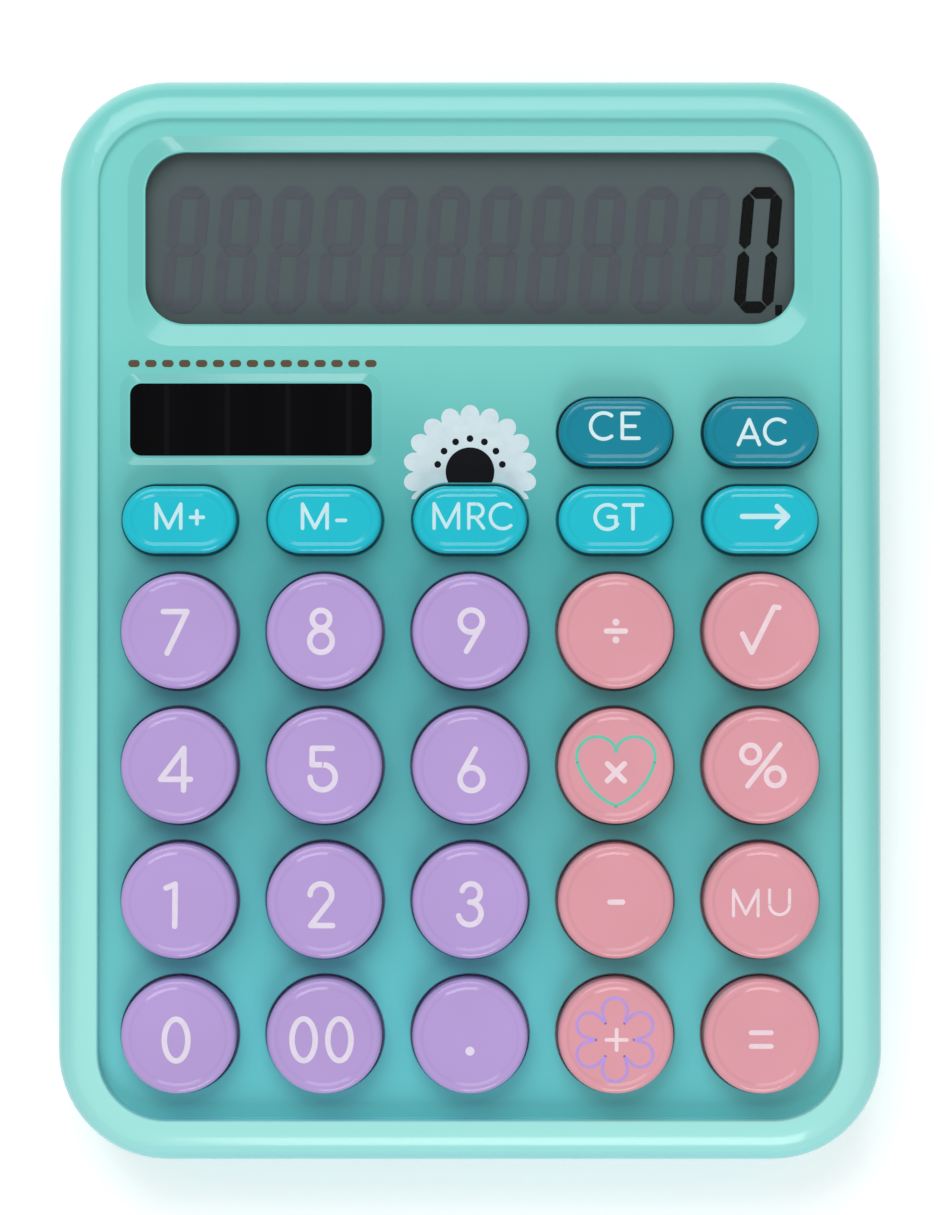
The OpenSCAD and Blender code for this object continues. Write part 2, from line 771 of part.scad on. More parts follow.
module battery_leads() {
    roof = bay_top + bay_wall;
    roof_edge = cell_y - bay_w / 2 - bay_wall;
    end_y = roof_edge - 4;
    end_z = board_under_z(end_y - case_shift) - battery_lead_r * tan(case_tilt + deck_dip);
    color("red") for (side = [-1, 1]) {
        x = side * (bay_l / 2 - contact_t - battery_lead_r - lead_gap);
        tube(smooth([
            [x, cell_y + tab_w / 2, roof + battery_lead_r + 0.1],
            [x, cell_y - 3, roof + battery_lead_r + 0.1],
            [x - 1, roof_edge, roof + battery_lead_r + 0.1],
            [x - 2, roof_edge - 2.5, roof - 1],
            [x - 2, end_y, roof - 0.6],
            [x - 2, end_y, end_z - 0.5],
            [x - 2, end_y, end_z]
        ], 4), battery_lead_r);
    }
}

// ---- what is drawn ----

front_case();
back_cover();
battery_door();
display_window();
lcd_glass();
lcd_frame();
zebra_strip();
solar_window();
solar_cell();
solar_leads();
keypad_membrane();
contact_pills();
circuit_board();
chip_blob();
board_parts();
board_screws();
case_screws();
battery_cell();
battery_spring();
contact_plates();
battery_leads();
rubber_feet();
for (k = KEYS) key(k);
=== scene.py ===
import json
import math

import bmesh
import bpy
from mathutils import Matrix, Vector


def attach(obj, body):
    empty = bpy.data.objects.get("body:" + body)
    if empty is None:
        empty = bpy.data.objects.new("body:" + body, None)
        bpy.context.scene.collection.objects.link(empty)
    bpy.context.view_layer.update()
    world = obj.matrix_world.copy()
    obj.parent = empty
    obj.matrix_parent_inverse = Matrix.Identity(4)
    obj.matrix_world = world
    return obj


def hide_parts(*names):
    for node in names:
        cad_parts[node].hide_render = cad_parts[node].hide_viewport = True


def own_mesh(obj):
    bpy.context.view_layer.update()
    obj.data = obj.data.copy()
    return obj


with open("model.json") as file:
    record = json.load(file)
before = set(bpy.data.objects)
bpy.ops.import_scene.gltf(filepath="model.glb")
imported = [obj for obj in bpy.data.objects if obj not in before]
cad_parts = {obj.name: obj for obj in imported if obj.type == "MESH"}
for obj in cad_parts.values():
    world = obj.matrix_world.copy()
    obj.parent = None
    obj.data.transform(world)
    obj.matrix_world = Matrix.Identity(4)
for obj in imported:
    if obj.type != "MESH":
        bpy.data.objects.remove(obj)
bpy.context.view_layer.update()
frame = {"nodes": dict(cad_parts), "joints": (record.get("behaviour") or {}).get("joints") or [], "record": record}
nodes = frame["nodes"]
bodyOf = {node: body for body, names in frame["record"]["behaviour"]["bodies"].items() for node in names}
mm = 0.001
press = next(joint for joint in frame["joints"] if joint["name"] == "key_5_press")
deckTilt = math.asin(press["axis"][1])  # the keys move square to the deck
deckDip = math.radians(0.9)  # the deck is a little steeper than the seam
caseTilt = deckTilt - deckDip
print("frame loaded:", len(nodes), "nodes")


# places taken from the frame

def spanOf(points):
    low = Vector([min(point[i] for point in points) for i in range(3)])
    high = Vector([max(point[i] for point in points) for i in range(3)])
    return low, high


def boxIn(node, tilt):  # a node's box once a slope about the world's X axis is laid level
    turn = Matrix.Rotation(-tilt, 3, "X")
    return spanOf([turn @ vertex.co for vertex in nodes[node].data.vertices])


def lumpsIn(node, tilt, reach):  # the boxes of a node's separate solids
    turn = Matrix.Rotation(-tilt, 3, "X")
    groups = []
    for vertex in nodes[node].data.vertices:
        point = turn @ vertex.co
        near = next((group for group in groups if (group[0] - point).to_2d().length < reach), None)
        if near is None:
            groups.append([point])
        else:
            near.append(point)
    return [spanOf(group) for group in groups]


def middle(box):
    return (box[0] + box[1]) / 2


# hand tools

def choose(*pieces):
    bpy.ops.object.select_all(action="DESELECT")
    for piece in pieces:
        piece.select_set(True)
    bpy.context.view_layer.objects.active = pieces[0]


def openMesh(piece):
    choose(piece)
    bpy.ops.object.mode_set(mode="EDIT")
    bpy.ops.mesh.select_all(action="DESELECT")


def closeMesh():
    bpy.ops.object.mode_set(mode="OBJECT")


def pick(kind, test):  # selects the vertices, edges or faces of the open mesh that pass a test
    bpy.ops.mesh.select_mode(type=kind)
    bpy.ops.mesh.select_all(action="DESELECT")
    data = bpy.context.edit_object.data
    mesh = bmesh.from_edit_mesh(data)
    mesh.normal_update()
    parts = {"VERT": mesh.verts, "EDGE": mesh.edges, "FACE": mesh.faces}[kind]
    for part in parts:
        if test(part):
            part.select_set(True)
    mesh.select_flush_mode()
    bmesh.update_edit_mesh(data)


def isUp(face):
    return face.normal.z > 0.999


def isDown(face):
    return face.normal.z < -0.999


def isUpright(edge):
    return abs((edge.verts[0].co - edge.verts[1].co).normalized().z) > 0.99


def pullOut(x=0, y=0, z=0):
    bpy.ops.mesh.extrude_region_move(TRANSFORM_OT_translate={"value": (x, y, z)})


def applyPlace(piece):
    choose(piece)
    bpy.ops.object.transform_apply(location=True, rotation=True, scale=True)


def tip(piece, tilt):  # turns a piece modelled level onto its slope
    piece.rotation_euler = (tilt, 0, 0)
    applyPlace(piece)
    return piece


def copyTo(piece, name, place):  # a copy with its own mesh
    twin = piece.copy()
    twin.data = piece.data.copy()
    twin.name = name
    bpy.context.scene.collection.objects.link(twin)
    twin.location = place
    applyPlace(twin)
    return twin


def joinAll(pieces, name):
    choose(*pieces)
    if len(pieces) > 1:
        bpy.ops.object.join()
    whole = bpy.context.view_layer.objects.active
    whole.name = name
    return whole


def sliceAt(piece, across, along=()):  # splits faces through the holes to come, so that none keeps a hole in it
    openMesh(piece)
    for places, square in ((across, Vector((1, 0, 0))), (along, Vector((0, 1, 0)))):
        for place in sorted({round(place, 5) for place in places}):
            bpy.ops.mesh.select_all(action="SELECT")
            bpy.ops.mesh.bisect(plane_co=square * place, plane_no=square)
    closeMesh()


def cutWith(piece, cutter, way="DIFFERENCE"):
    choose(piece)
    cut = piece.modifiers.new("cut", "BOOLEAN")
    cut.operation = way
    cut.object = cutter
    cut.solver = "MANIFOLD"
    bpy.ops.object.modifier_apply(modifier=cut.name)
    bpy.data.objects.remove(cutter)


def smooth(piece, angle=35, weighted=False):
    choose(piece)
    bpy.ops.object.shade_smooth_by_angle(angle=math.radians(angle))
    if weighted:
        even = piece.modifiers.new("even", "WEIGHTED_NORMAL")
        even.keep_sharp = True
        bpy.ops.object.modifier_apply(modifier=even.name)


def addSlab(name, low, high, radius=0, steps=12):  # a block, with its four upright edges rounded
    bpy.ops.mesh.primitive_cube_add(size=1, location=(low + high) / 2, scale=high - low)
    piece = bpy.context.active_object
    piece.name = name
    applyPlace(piece)
    if radius:
        openMesh(piece)
        pick("EDGE", isUpright)
        bpy.ops.mesh.bevel(offset=radius, segments=steps, affect="EDGES")
        closeMesh()
    return piece


def addDisc(name, width, height, low, high, x=0, y=0, sides=96):  # long where it is wider than high
    bpy.ops.mesh.primitive_cylinder_add(
        vertices=sides, radius=height / 2, depth=high - low,
        location=(x, y, (low + high) / 2), rotation=(0, 0, math.pi / sides))
    piece = bpy.context.active_object
    piece.name = name
    applyPlace(piece)
    if width > height:
        openMesh(piece)
        for side in (-1, 1):
            pick("VERT", lambda vertex: side * (vertex.co.x - x) > 0)
            bpy.ops.transform.translate(value=(side * (width - height) / 2, 0, 0))
        closeMesh()
    return piece


def finishPiece(piece, node, coats, replaced=()):
    if coats:
        piece.data.materials.clear()
        for coat in coats:
            piece.data.materials.append(coat)
    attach(piece, bodyOf[node])
    if replaced:
        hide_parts(*replaced)
    return piece


# finishes

def linear(red, green, blue):  # a colour as the eye sees it, 0 to 255, turned into a shader's
    shares = [channel / 255 for channel in (red, green, blue)]
    return tuple(s / 12.92 if s <= 0.04045 else ((s + 0.055) / 1.055) ** 2.4 for s in shares) + (1,)


def scaled(colour, share):
    return tuple(min(1, channel * share) for channel in colour[:3]) + (1,)


def newCoat(name):
    coat = bpy.data.materials.new(name)
    coat.use_nodes = True
    parts = coat.node_tree.nodes
    return coat, parts, coat.node_tree.links, parts["Principled BSDF"]


def addNoise(parts, links, place, scale, detail=3, rough=0.5):
    noise = parts.new("ShaderNodeTexNoise")
    noise.inputs["Scale"].default_value = scale
    noise.inputs["Detail"].default_value = detail
    noise.inputs["Roughness"].default_value = rough
    links.new(place, noise.inputs["Vector"])
    return noise.outputs["Fac"]


def addRange(parts, links, value, low, high, fromLow=0.0, fromHigh=1.0):
    spread = parts.new("ShaderNodeMapRange")
    spread.inputs["From Min"].default_value = fromLow
    spread.inputs["From Max"].default_value = fromHigh
    spread.inputs["To Min"].default_value = low
    spread.inputs["To Max"].default_value = high
    links.new(value, spread.inputs["Value"])
    return spread.outputs["Result"]


def addRamp(parts, links, value, stops):
    ramp = parts.new("ShaderNodeValToRGB")
    marks = ramp.color_ramp.elements
    while len(marks) < len(stops):
        marks.new(0.5)
    for mark, (where, colour) in zip(marks, stops):
        mark.position = where
        mark.color = colour
    links.new(value, ramp.inputs["Fac"])
    return ramp.outputs["Color"]


def addBump(parts, links, height, shader, strength, distance):
    bump = parts.new("ShaderNodeBump")
    bump.inputs["Strength"].default_value = strength
    bump.inputs["Distance"].default_value = distance
    links.new(height, bump.inputs["Height"])
    links.new(bump.outputs["Normal"], shader.inputs["Normal"])


def mouldedPlastic(name, colour, look):  # glossy injection moulded plastic, with a slow drift of tone
    coat, parts, links, shader = newCoat(name)
    place = parts.new("ShaderNodeTexCoord").outputs["Object"]
    drift = addNoise(parts, links, place, look["patches"])
    shade = look["drift"]
    stops = [(0.3, scaled(colour, 1 - shade)), (0.7, scaled(colour, 1 + shade))]
    links.new(addRamp(parts, links, drift, stops), shader.inputs["Base Color"])
    grain = addNoise(parts, links, place, look["grain"], 5)
    links.new(addRange(parts, links, grain, *look["rough"]), shader.inputs["Roughness"])
    addBump(parts, links, grain, shader, look["bump"], 0.00003)
    shader.inputs["Specular IOR Level"].default_value = look.get("shine", 0.4)
    shader.inputs["Coat Weight"].default_value = look["coat"]
    shader.inputs["Coat Roughness"].default_value = look["coatRough"]
    shader.inputs["Subsurface Weight"].default_value = look["depth"]
    shader.inputs["Subsurface Radius"].default_value = (0.0012, 0.0012, 0.0012)
    shader.inputs["Subsurface Scale"].default_value = 1.0
    return coat


capLook = {"patches": 60, "drift": 0.03, "grain": 2600, "rough": (0.24, 0.36), "bump": 0.12,
           "coat": 0.6, "coatRough": 0.09, "shine": 0.1, "depth": 0.0}

shellLook = {"patches": 35, "drift": 0.02, "grain": 2200, "rough": (0.26, 0.36), "bump": 0.15,
             "coat": 0.5, "coatRough": 0.1, "depth": 0.0,
             "front": linear(96, 196, 200), "middle": linear(84, 174, 175), "crowd": linear(72, 168, 168),
             "rear": linear(118, 206, 200), "side": linear(122, 212, 206), "rim": linear(162, 231, 225)}
legendTone = linear(232, 226, 232)


def shellPlasticPaintedLight(name, deckFront, deckRear, rimLow, rimHigh):  # mint plastic with painted light: painted shade among the keys, paler beside them, lighter towards the front and the rear of the deck, and a painted highlight on the rim
    look = shellLook
    coat, parts, links, shader = newCoat(name)
    place = parts.new("ShaderNodeTexCoord").outputs["Object"]
    spread = parts.new("ShaderNodeSeparateXYZ")
    links.new(place, spread.inputs["Vector"])
    along = addRange(parts, links, spread.outputs["Y"], 0, 1, deckFront, deckRear)
    drift = addRange(parts, links, addNoise(parts, links, place, look["patches"]), -0.06, 0.06)
    total = parts.new("ShaderNodeMath")
    total.operation = "ADD"
    links.new(along, total.inputs[0])
    links.new(drift, total.inputs[1])
    # painted light: lighter at the front and the rear of the deck, painted shade among the keys
    stops = [(0, look["front"]), (0.3, look["middle"]), (0.68, look["crowd"]), (0.93, look["rear"])]
    tone = addRamp(parts, links, total.outputs["Value"], stops)
    away = parts.new("ShaderNodeMath")  # painted shade: darker between the keys than beside them
    away.operation = "ABSOLUTE"
    links.new(spread.outputs["X"], away.inputs[0])
    beside = addRange(parts, links, away.outputs["Value"], 0, 0.6, 0.044, 0.057)
    flank = parts.new("ShaderNodeMix")
    flank.data_type = "RGBA"
    links.new(beside, flank.inputs["Factor"])
    links.new(tone, flank.inputs[6])
    flank.inputs[7].default_value = look["side"]
    tone = flank.outputs[2]
    turn = parts.new("ShaderNodeVectorRotate")  # height above the deck, square to it, for the painted highlight that lightens the rim
    turn.rotation_type = "X_AXIS"
    turn.inputs["Angle"].default_value = -deckTilt
    links.new(place, turn.inputs["Vector"])
    level = parts.new("ShaderNodeSeparateXYZ")
    links.new(turn.outputs["Vector"], level.inputs["Vector"])
    height = addRange(parts, links, level.outputs["Z"], 0, 1, rimLow, rimHigh)
    blend = parts.new("ShaderNodeMix")
    blend.data_type = "RGBA"
    links.new(height, blend.inputs["Factor"])
    links.new(tone, blend.inputs[6])
    blend.inputs[7].default_value = look["rim"]
    links.new(blend.outputs[2], shader.inputs["Base Color"])
    grain = addNoise(parts, links, place, look["grain"], 5)
    links.new(addRange(parts, links, grain, *look["rough"]), shader.inputs["Roughness"])
    addBump(parts, links, grain, shader, look["bump"], 0.00003)
    shader.inputs["Specular IOR Level"].default_value = 0.25
    shader.inputs["Coat Weight"].default_value = look["coat"]
    shader.inputs["Coat Roughness"].default_value = look["coatRough"]
    return coat


def printInkAndPaintedShadow(name, colour):  # pad printing: flat, thin and a little uneven; the same finish also makes the near black painted shadow coat
    look = {"patches": 700, "drift": 0.04, "grain": 4000, "rough": (0.42, 0.55), "bump": 0.1,
            "coat": 0.0, "coatRough": 0.2, "shine": 0.1, "depth": 0.0}
    return mouldedPlastic(name, colour, look)


def clearPane(name, tint, alpha, rough):  # a clear moulding that keeps its reflections
    coat, parts, links, shader = newCoat(name)
    place = parts.new("ShaderNodeTexCoord").outputs["Object"]
    drift = addNoise(parts, links, place, 90)
    links.new(addRamp(parts, links, drift, [(0.3, tint), (0.7, scaled(tint, 1.08))]), shader.inputs["Base Color"])
    haze = addNoise(parts, links, place, 1500, 4)
    links.new(addRange(parts, links, haze, rough, rough + 0.05), shader.inputs["Roughness"])
    shader.inputs["Alpha"].default_value = alpha
    shader.inputs["Coat Weight"].default_value = 0.2
    return coat


def metal(name, colour, rough, brush):
    coat, parts, links, shader = newCoat(name)
    place = parts.new("ShaderNodeTexCoord").outputs["Object"]
    grain = addNoise(parts, links, place, brush, 6, 0.7)
    links.new(addRamp(parts, links, grain, [(0.35, scaled(colour, 0.85)), (0.65, colour)]), shader.inputs["Base Color"])
    links.new(addRange(parts, links, grain, *rough), shader.inputs["Roughness"])
    addBump(parts, links, grain, shader, 0.2, 0.00002)
    shader.inputs["Metallic"].default_value = 1.0
    return coat


def liquidCrystal(name, top, bottom, low, high):  # grey polariser, a little lighter towards its rear
    coat, parts, links, shader = newCoat(name)
    place = parts.new("ShaderNodeTexCoord").outputs["Object"]
    spread = parts.new("ShaderNodeSeparateXYZ")
    links.new(place, spread.inputs["Vector"])
    along = addRange(parts, links, spread.outputs["Y"], 0, 1, low, high)
    links.new(addRamp(parts, links, along, [(0, bottom), (0.5, scaled(bottom, 1.02)), (1, top)]),
              shader.inputs["Base Color"])
    fine = addNoise(parts, links, place, 5200, 4)
    links.new(addRange(parts, links, fine, 0.3, 0.42), shader.inputs["Roughness"])
    addBump(parts, links, fine, shader, 0.1, 0.00002)
    shader.inputs["Specular IOR Level"].default_value = 0.1
    return coat


def solarFilm(name):  # near black silicon with the faint gaps between its cells
    coat, parts, links, shader = newCoat(name)
    place = parts.new("ShaderNodeTexCoord").outputs["Object"]
    bands = parts.new("ShaderNodeTexWave")
    bands.inputs["Scale"].default_value = 35
    bands.inputs["Distortion"].default_value = 0.0
    links.new(place, bands.inputs["Vector"])
    stops = [(0.0, linear(17, 15, 18)), (0.03, linear(7, 6, 8)), (1, linear(5, 5, 7))]
    links.new(addRamp(parts, links, bands.outputs["Fac"], stops), shader.inputs["Base Color"])
    fine = addNoise(parts, links, place, 1800, 4)
    links.new(addRange(parts, links, fine, 0.12, 0.2), shader.inputs["Roughness"])
    shader.inputs["Specular IOR Level"].default_value = 0.08
    return coat


# the shell's own places, level with the seam or with the deck

lensSeat = 2.4 * mm  # the display window lies this far under the deck
deckTop = boxIn("display_window", deckTilt)[1].z + lensSeat
caseBox = boxIn("front_case", caseTilt)
caseMiddle = middle(caseBox)
deckMiddle = Matrix.Rotation(-deckDip, 3, "X") @ Vector((0, caseMiddle.y, caseBox[1].z - 1.85 * mm))
keyNames = [node for node in nodes if node.startswith("key_")]
keyBoxes = {node: boxIn(node, deckTilt) for node in keyNames}

# painted light on the shell: painted shade among the keys, lighter deck ends and a lighter rim
mint = shellPlasticPaintedLight("mint_shell_painted_light", deckMiddle.y - 0.06, deckMiddle.y + 0.045, deckTop + 0.0001, deckTop + 0.0024)
lilac = mouldedPlastic("lilac_cap", linear(182, 156, 215), capLook)
pink = mouldedPlastic("pink_cap", linear(223, 156, 167), capLook)
cyan = mouldedPlastic("cyan_cap", linear(20, 190, 208), capLook)
teal = mouldedPlastic("teal_cap", linear(0, 132, 155), capLook)
# painted shadow: a near black coat for the key skirts and the walls of the key holes
shadow = printInkAndPaintedShadow("painted_shadow_skirt", linear(14, 20, 40))
inkOn = {"lilac_key": printInkAndPaintedShadow("lilac_legend", linear(226, 216, 234)),
         "pink_key": printInkAndPaintedShadow("pink_legend", linear(238, 214, 222)),
         "cyan_key": printInkAndPaintedShadow("cyan_legend", linear(196, 232, 238)),
         "teal_key": printInkAndPaintedShadow("teal_legend", linear(212, 236, 240))}
mintInk = printInkAndPaintedShadow("mint_print", linear(108, 200, 176))
lilacInk = printInkAndPaintedShadow("lilac_print", linear(184, 152, 222))
brownInk = printInkAndPaintedShadow("brown_print", linear(92, 78, 60))
blackInk = printInkAndPaintedShadow("black_print", linear(14, 14, 20))
paleInk = printInkAndPaintedShadow("pale_print", linear(206, 224, 230))
lensCoat = clearPane("clear_window", linear(20, 26, 25), 0.08, 0.06)
# painted shadow: a dark teal band round the visible edge of the display lens
lensPaintedShadow = printInkAndPaintedShadow("window_edge_painted_shadow", linear(26, 52, 50))

# upper shell

shellShape = {
    "corner": 16.2 * mm, "edge": 5.2 * mm, "rim": 1.0 * mm, "sink": 1.85 * mm, "deck": 2 * mm, "wall": 2.2 * mm,
    "ledgeTop": 0.35 * mm, "ledgeFoot": 0.35 * mm, "holeGap": 0.35 * mm, "catch": 0.8 * mm, "holeEdge": 0.12 * mm,
    "lensLap": 1.7 * mm, "paneRound": 6 * mm, "pocket": 1.2 * mm, "pocketLedge": 0.3 * mm,
    "slopeSide": 2.2 * mm, "slopeFront": 3 * mm, "slopeRear": 1.9 * mm,
    "solarRound": 1.7 * mm, "solarPocket": 0.6 * mm, "solarSlope": 1.1 * mm, "solarGap": 0.1 * mm,
}


def addPocket(name, low, high, radius, depth, side, front, rear):  # a cutter whose walls slope outwards
    ledge = Vector((shellShape["pocketLedge"], shellShape["pocketLedge"], 0))
    foot = addSlab(name, low - ledge, high + ledge, radius + ledge.x)
    size = high - low + 2 * ledge
    centre = (low + high) / 2
    openMesh(foot)
    pick("FACE", isUp)
    bpy.ops.transform.resize(
        value=((size.x + 2 * side) / size.x, (size.y + front + rear) / size.y, 1),
        center_override=(centre.x, centre.y, high.z))
    bpy.ops.transform.translate(value=(0, (rear - front) / 2, 0))
    pullOut(z=1 * mm)
    closeMesh()
    return foot


def makeShell():
    s = shellShape
    shell = addSlab("front_shell", *caseBox, s["corner"], 14)
    openMesh(shell)
    pick("FACE", isUp)
    bpy.ops.mesh.region_to_loop()
    bpy.ops.mesh.bevel(offset=s["edge"], segments=9, affect="EDGES")
    pick("FACE", isUp)
    bpy.ops.mesh.inset(thickness=s["rim"])
    pullOut(z=-s["sink"])
    bpy.ops.transform.rotate(value=-deckDip, orient_axis="X", center_override=(0, caseMiddle.y, caseBox[1].z - s["sink"]))
    closeMesh()
    return shell


shell = makeShell()
print("shell started")


def makeBosses():  # posts under the deck for the board's screws and the case's
    s = bossShape
    deckPosts = []
    for box in lumpsIn("board_screws", deckTilt, 4 * mm):
        at = middle(box)
        deckPosts.append(addBoss(at, s["boardRound"], s["boardHole"], deckTop - s["boardFoot"], deckTop - s["root"]))
    pad = boxIn("lcd_frame", deckTilt)
    low = Vector((pad[0].x - s["padEdge"], pad[0].y - s["padEdge"], deckTop - lensSeat))
    high = Vector((pad[1].x + s["padEdge"], pad[1].y + s["padEdge"], deckTop - s["root"]))
    deckPosts.append(addSlab("pad", low, high, shellShape["paneRound"]))
    casePosts = []
    for box in lumpsIn("case_screws", caseTilt, 4 * mm):
        at = middle(box)
        top = deckTop + (caseBox[1].z - deckTop) / 2 - s["caseRoot"] + (at.y - caseMiddle.y) * math.sin(deckDip)
        casePosts.append(addBoss(at, s["caseRound"], s["caseHole"], caseBox[0].z + s["caseFoot"], top))
    return tip(joinAll(deckPosts, "deck_posts"), deckTilt), tip(joinAll(casePosts, "case_posts"), caseTilt)


bossShape = {
    "boardRound": 2.2 * mm, "boardHole": 0.92 * mm, "boardFoot": 8 * mm, "root": 1 * mm, "padEdge": 1 * mm,
    "caseRound": 2.6 * mm, "caseHole": 1.12 * mm, "caseFoot": 1 * mm, "caseRoot": 2.9 * mm, "holeDeep": 5.5 * mm,
}


def addBoss(at, radius, hole, low, high):
    boss = addDisc("boss", 0, 2 * radius, low, high, at.x, at.y, 32)
    openMesh(boss)
    pick("FACE", isDown)
    bpy.ops.mesh.inset(thickness=radius - hole)
    pullOut(z=bossShape["holeDeep"])
    closeMesh()
    return boss


def hollowShell(shell):
    s = shellShape
    openMesh(shell)
    pick("EDGE", lambda edge: len(edge.link_faces) == 2
         and max(face.normal.z for face in edge.link_faces) > 0.999
         and abs(min(face.normal.z for face in edge.link_faces)) < 0.1)
    bpy.ops.mesh.bevel(offset=s["ledgeTop"], segments=3, affect="EDGES")
    pick("FACE", isDown)
    bpy.ops.mesh.inset(thickness=s["wall"])
    room = caseBox[1].z - caseBox[0].z - s["sink"] - s["deck"]
    pullOut(z=room)
    bpy.ops.transform.rotate(value=-deckDip, orient_axis="X", center_override=(0, caseMiddle.y, caseBox[0].z + room))
    closeMesh()
    return tip(shell, caseTilt)


def keyOutline(node):  # a cap's middle, width and height, without the catch round its foot
    low, high = keyBoxes[node]
    out = 2 * (shellShape["holeGap"] + shellShape["catch"])
    return (low + high) / 2, high.x - low.x - out, high.y - low.y - out


def addHole(at, width, height, low, high):  # a cutter that flares just under the deck's top
    edge = shellShape["holeEdge"]
    hole = addDisc("hole", width, height, low, deckTop - edge, at.x, at.y)
    openMesh(hole)
    pick("FACE", isUp)
    pullOut(z=edge)
    bpy.ops.transform.resize(value=((width + 2 * edge) / width, (height + 2 * edge) / height, 1),
                             center_override=(at.x, at.y, deckTop))
    pullOut(z=high - deckTop)
    closeMesh()
    return hole


def makeOpenings():
    s = shellShape
    through = (deckTop - 2 * s["deck"], deckTop + 1 * mm)
    holes = []
    for node in keyNames:
        at, width, height = keyOutline(node)
        holes.append(addHole(at, width + 2 * s["holeGap"], height + 2 * s["holeGap"], *through))
    pane = boxIn("display_window", deckTilt)
    lap = Vector((s["lensLap"], s["lensLap"], 0))
    low, high = pane[0] + lap, pane[1] - lap
    low.z, high.z = deckTop - s["pocket"], deckTop
    holes.append(addPocket("pocket", low, high, s["paneRound"], s["pocket"],
                           s["slopeSide"], s["slopeFront"], s["slopeRear"]))
    solar = boxIn("solar_window", deckTilt)
    gap = Vector((s["solarGap"], s["solarGap"], 0))
    solarLow, solarHigh = solar[0] - gap, solar[1] + gap
    solarLow.z, solarHigh.z = deckTop - s["solarPocket"], deckTop
    slope = s["solarSlope"]
    holes.append(addPocket("pocket", solarLow, solarHigh, s["solarRound"], s["solarPocket"], slope, slope, slope))
    openings = []
    for corner, opposite, radius in ((low, high, s["paneRound"]), (solarLow, solarHigh, s["solarRound"])):
        foot = Vector((corner.x, corner.y, through[0]))
        openings.append(addSlab("opening", foot, Vector((opposite.x, opposite.y, through[1])), radius))
    return tip(joinAll(holes, "holes"), deckTilt), tip(joinAll(openings, "openings"), deckTilt)


deckNormal = Vector((0, -math.sin(deckTilt), math.cos(deckTilt)))
shell = hollowShell(shell)
screwLumps = [middle(box).x for box in lumpsIn("board_screws", deckTilt, 4 * mm) + lumpsIn("case_screws", caseTilt, 4 * mm)]
windows = [middle(boxIn(node, 0)).y for node in ("display_window", "solar_window")]
sliceAt(shell, screwLumps + [keyOutline(node)[0].x for node in keyNames],
        windows + [keyOutline(node)[0].y for node in keyNames])
for posts in makeBosses():
    cutWith(shell, posts, "UNION")
for cutter in makeOpenings():
    cutWith(shell, cutter)
for face in shell.data.polygons:  # painted shadow: the walls of the holes get the near black coat
    depth = deckTop - face.center.dot(deckNormal)
    if 0.15 * mm < depth < 2.3 * mm and abs(face.normal.dot(deckNormal)) < 0.3:
        face.material_index = 1
smooth(shell, 17, weighted=True)
finishPiece(shell, "front_case", [mint, shadow], ["front_case"])
print("upper shell done:", len(shell.data.polygons), "faces")

# keys

keyShape = {"catchLow": -3.2 * mm, "catchTop": -2.1 * mm, "shade": -0.15 * mm, "edge": 0.9 * mm, "rim": 0.25 * mm,
            "slope": 0.45 * mm, "dish": 0.25 * mm, "soften": 0.08 * mm, "wall": 1.2 * mm, "plunger": -5 * mm,
            "postRound": 2.2 * mm, "postLong": 1.5 * mm}


def isDishEdge(edge):
    leans = sorted(face.normal.z for face in edge.link_faces)
    return len(leans) == 2 and leans[1] > 0.999 and 0.8 < leans[0] < 0.95


def makeCap(name, width, height, rise, post):
    s = keyShape
    out = shellShape["holeGap"] + shellShape["catch"]
    cap = addDisc(name, width + 2 * out, height + 2 * out, s["catchLow"], s["catchTop"])
    openMesh(cap)
    pick("FACE", isUp)
    bpy.ops.mesh.inset(thickness=out)
    pullOut(z=s["shade"] - s["catchTop"])
    pullOut(z=rise - s["shade"])
    bpy.ops.mesh.region_to_loop()
    bpy.ops.mesh.bevel(offset=s["edge"], segments=7, affect="EDGES")
    pick("FACE", lambda face: isUp(face) and face.calc_center_median().z > rise - 0.01 * mm)
    bpy.ops.mesh.inset(thickness=s["rim"])
    bpy.ops.mesh.inset(thickness=s["slope"], depth=-s["dish"])
    pick("EDGE", isDishEdge)
    bpy.ops.mesh.bevel(offset=s["soften"], segments=2, affect="EDGES")
    pick("FACE", isDown)
    bpy.ops.mesh.inset(thickness=out + s["wall"])
    roof = rise - s["wall"] - s["dish"]
    pullOut(z=roof - s["catchLow"])
    bpy.ops.mesh.inset(thickness=height / 2 - s["wall"] - post)
    pullOut(z=s["plunger"] - roof)
    closeMesh()
    # painted shadow: the cap's faces below the shade line get the near black coat
    for face in cap.data.polygons:
        face.material_index = 1 if face.center.z < s["shade"] else 0
    smooth(cap, 40, weighted=True)
    return cap


capCoats = {"lilac_key": lilac, "pink_key": pink, "cyan_key": cyan, "teal_key": teal}
slotOf = {part["node"]: part["material_slot"] for part in frame["record"]["subparts"]}
firstRound, firstLong = keyOutline("key_5"), keyOutline("key_memory_plus")
capRise = {node: keyBoxes[node][1].z - deckTop for node in keyNames}
patterns = {
    "round": makeCap("round_cap", firstRound[1], firstRound[2], capRise["key_5"], keyShape["postRound"]),
    "long": makeCap("long_cap", firstLong[1], firstLong[2], capRise["key_memory_plus"], keyShape["postLong"]),
}


def isLong(node):
    return slotOf[node] in ("cyan_key", "teal_key")


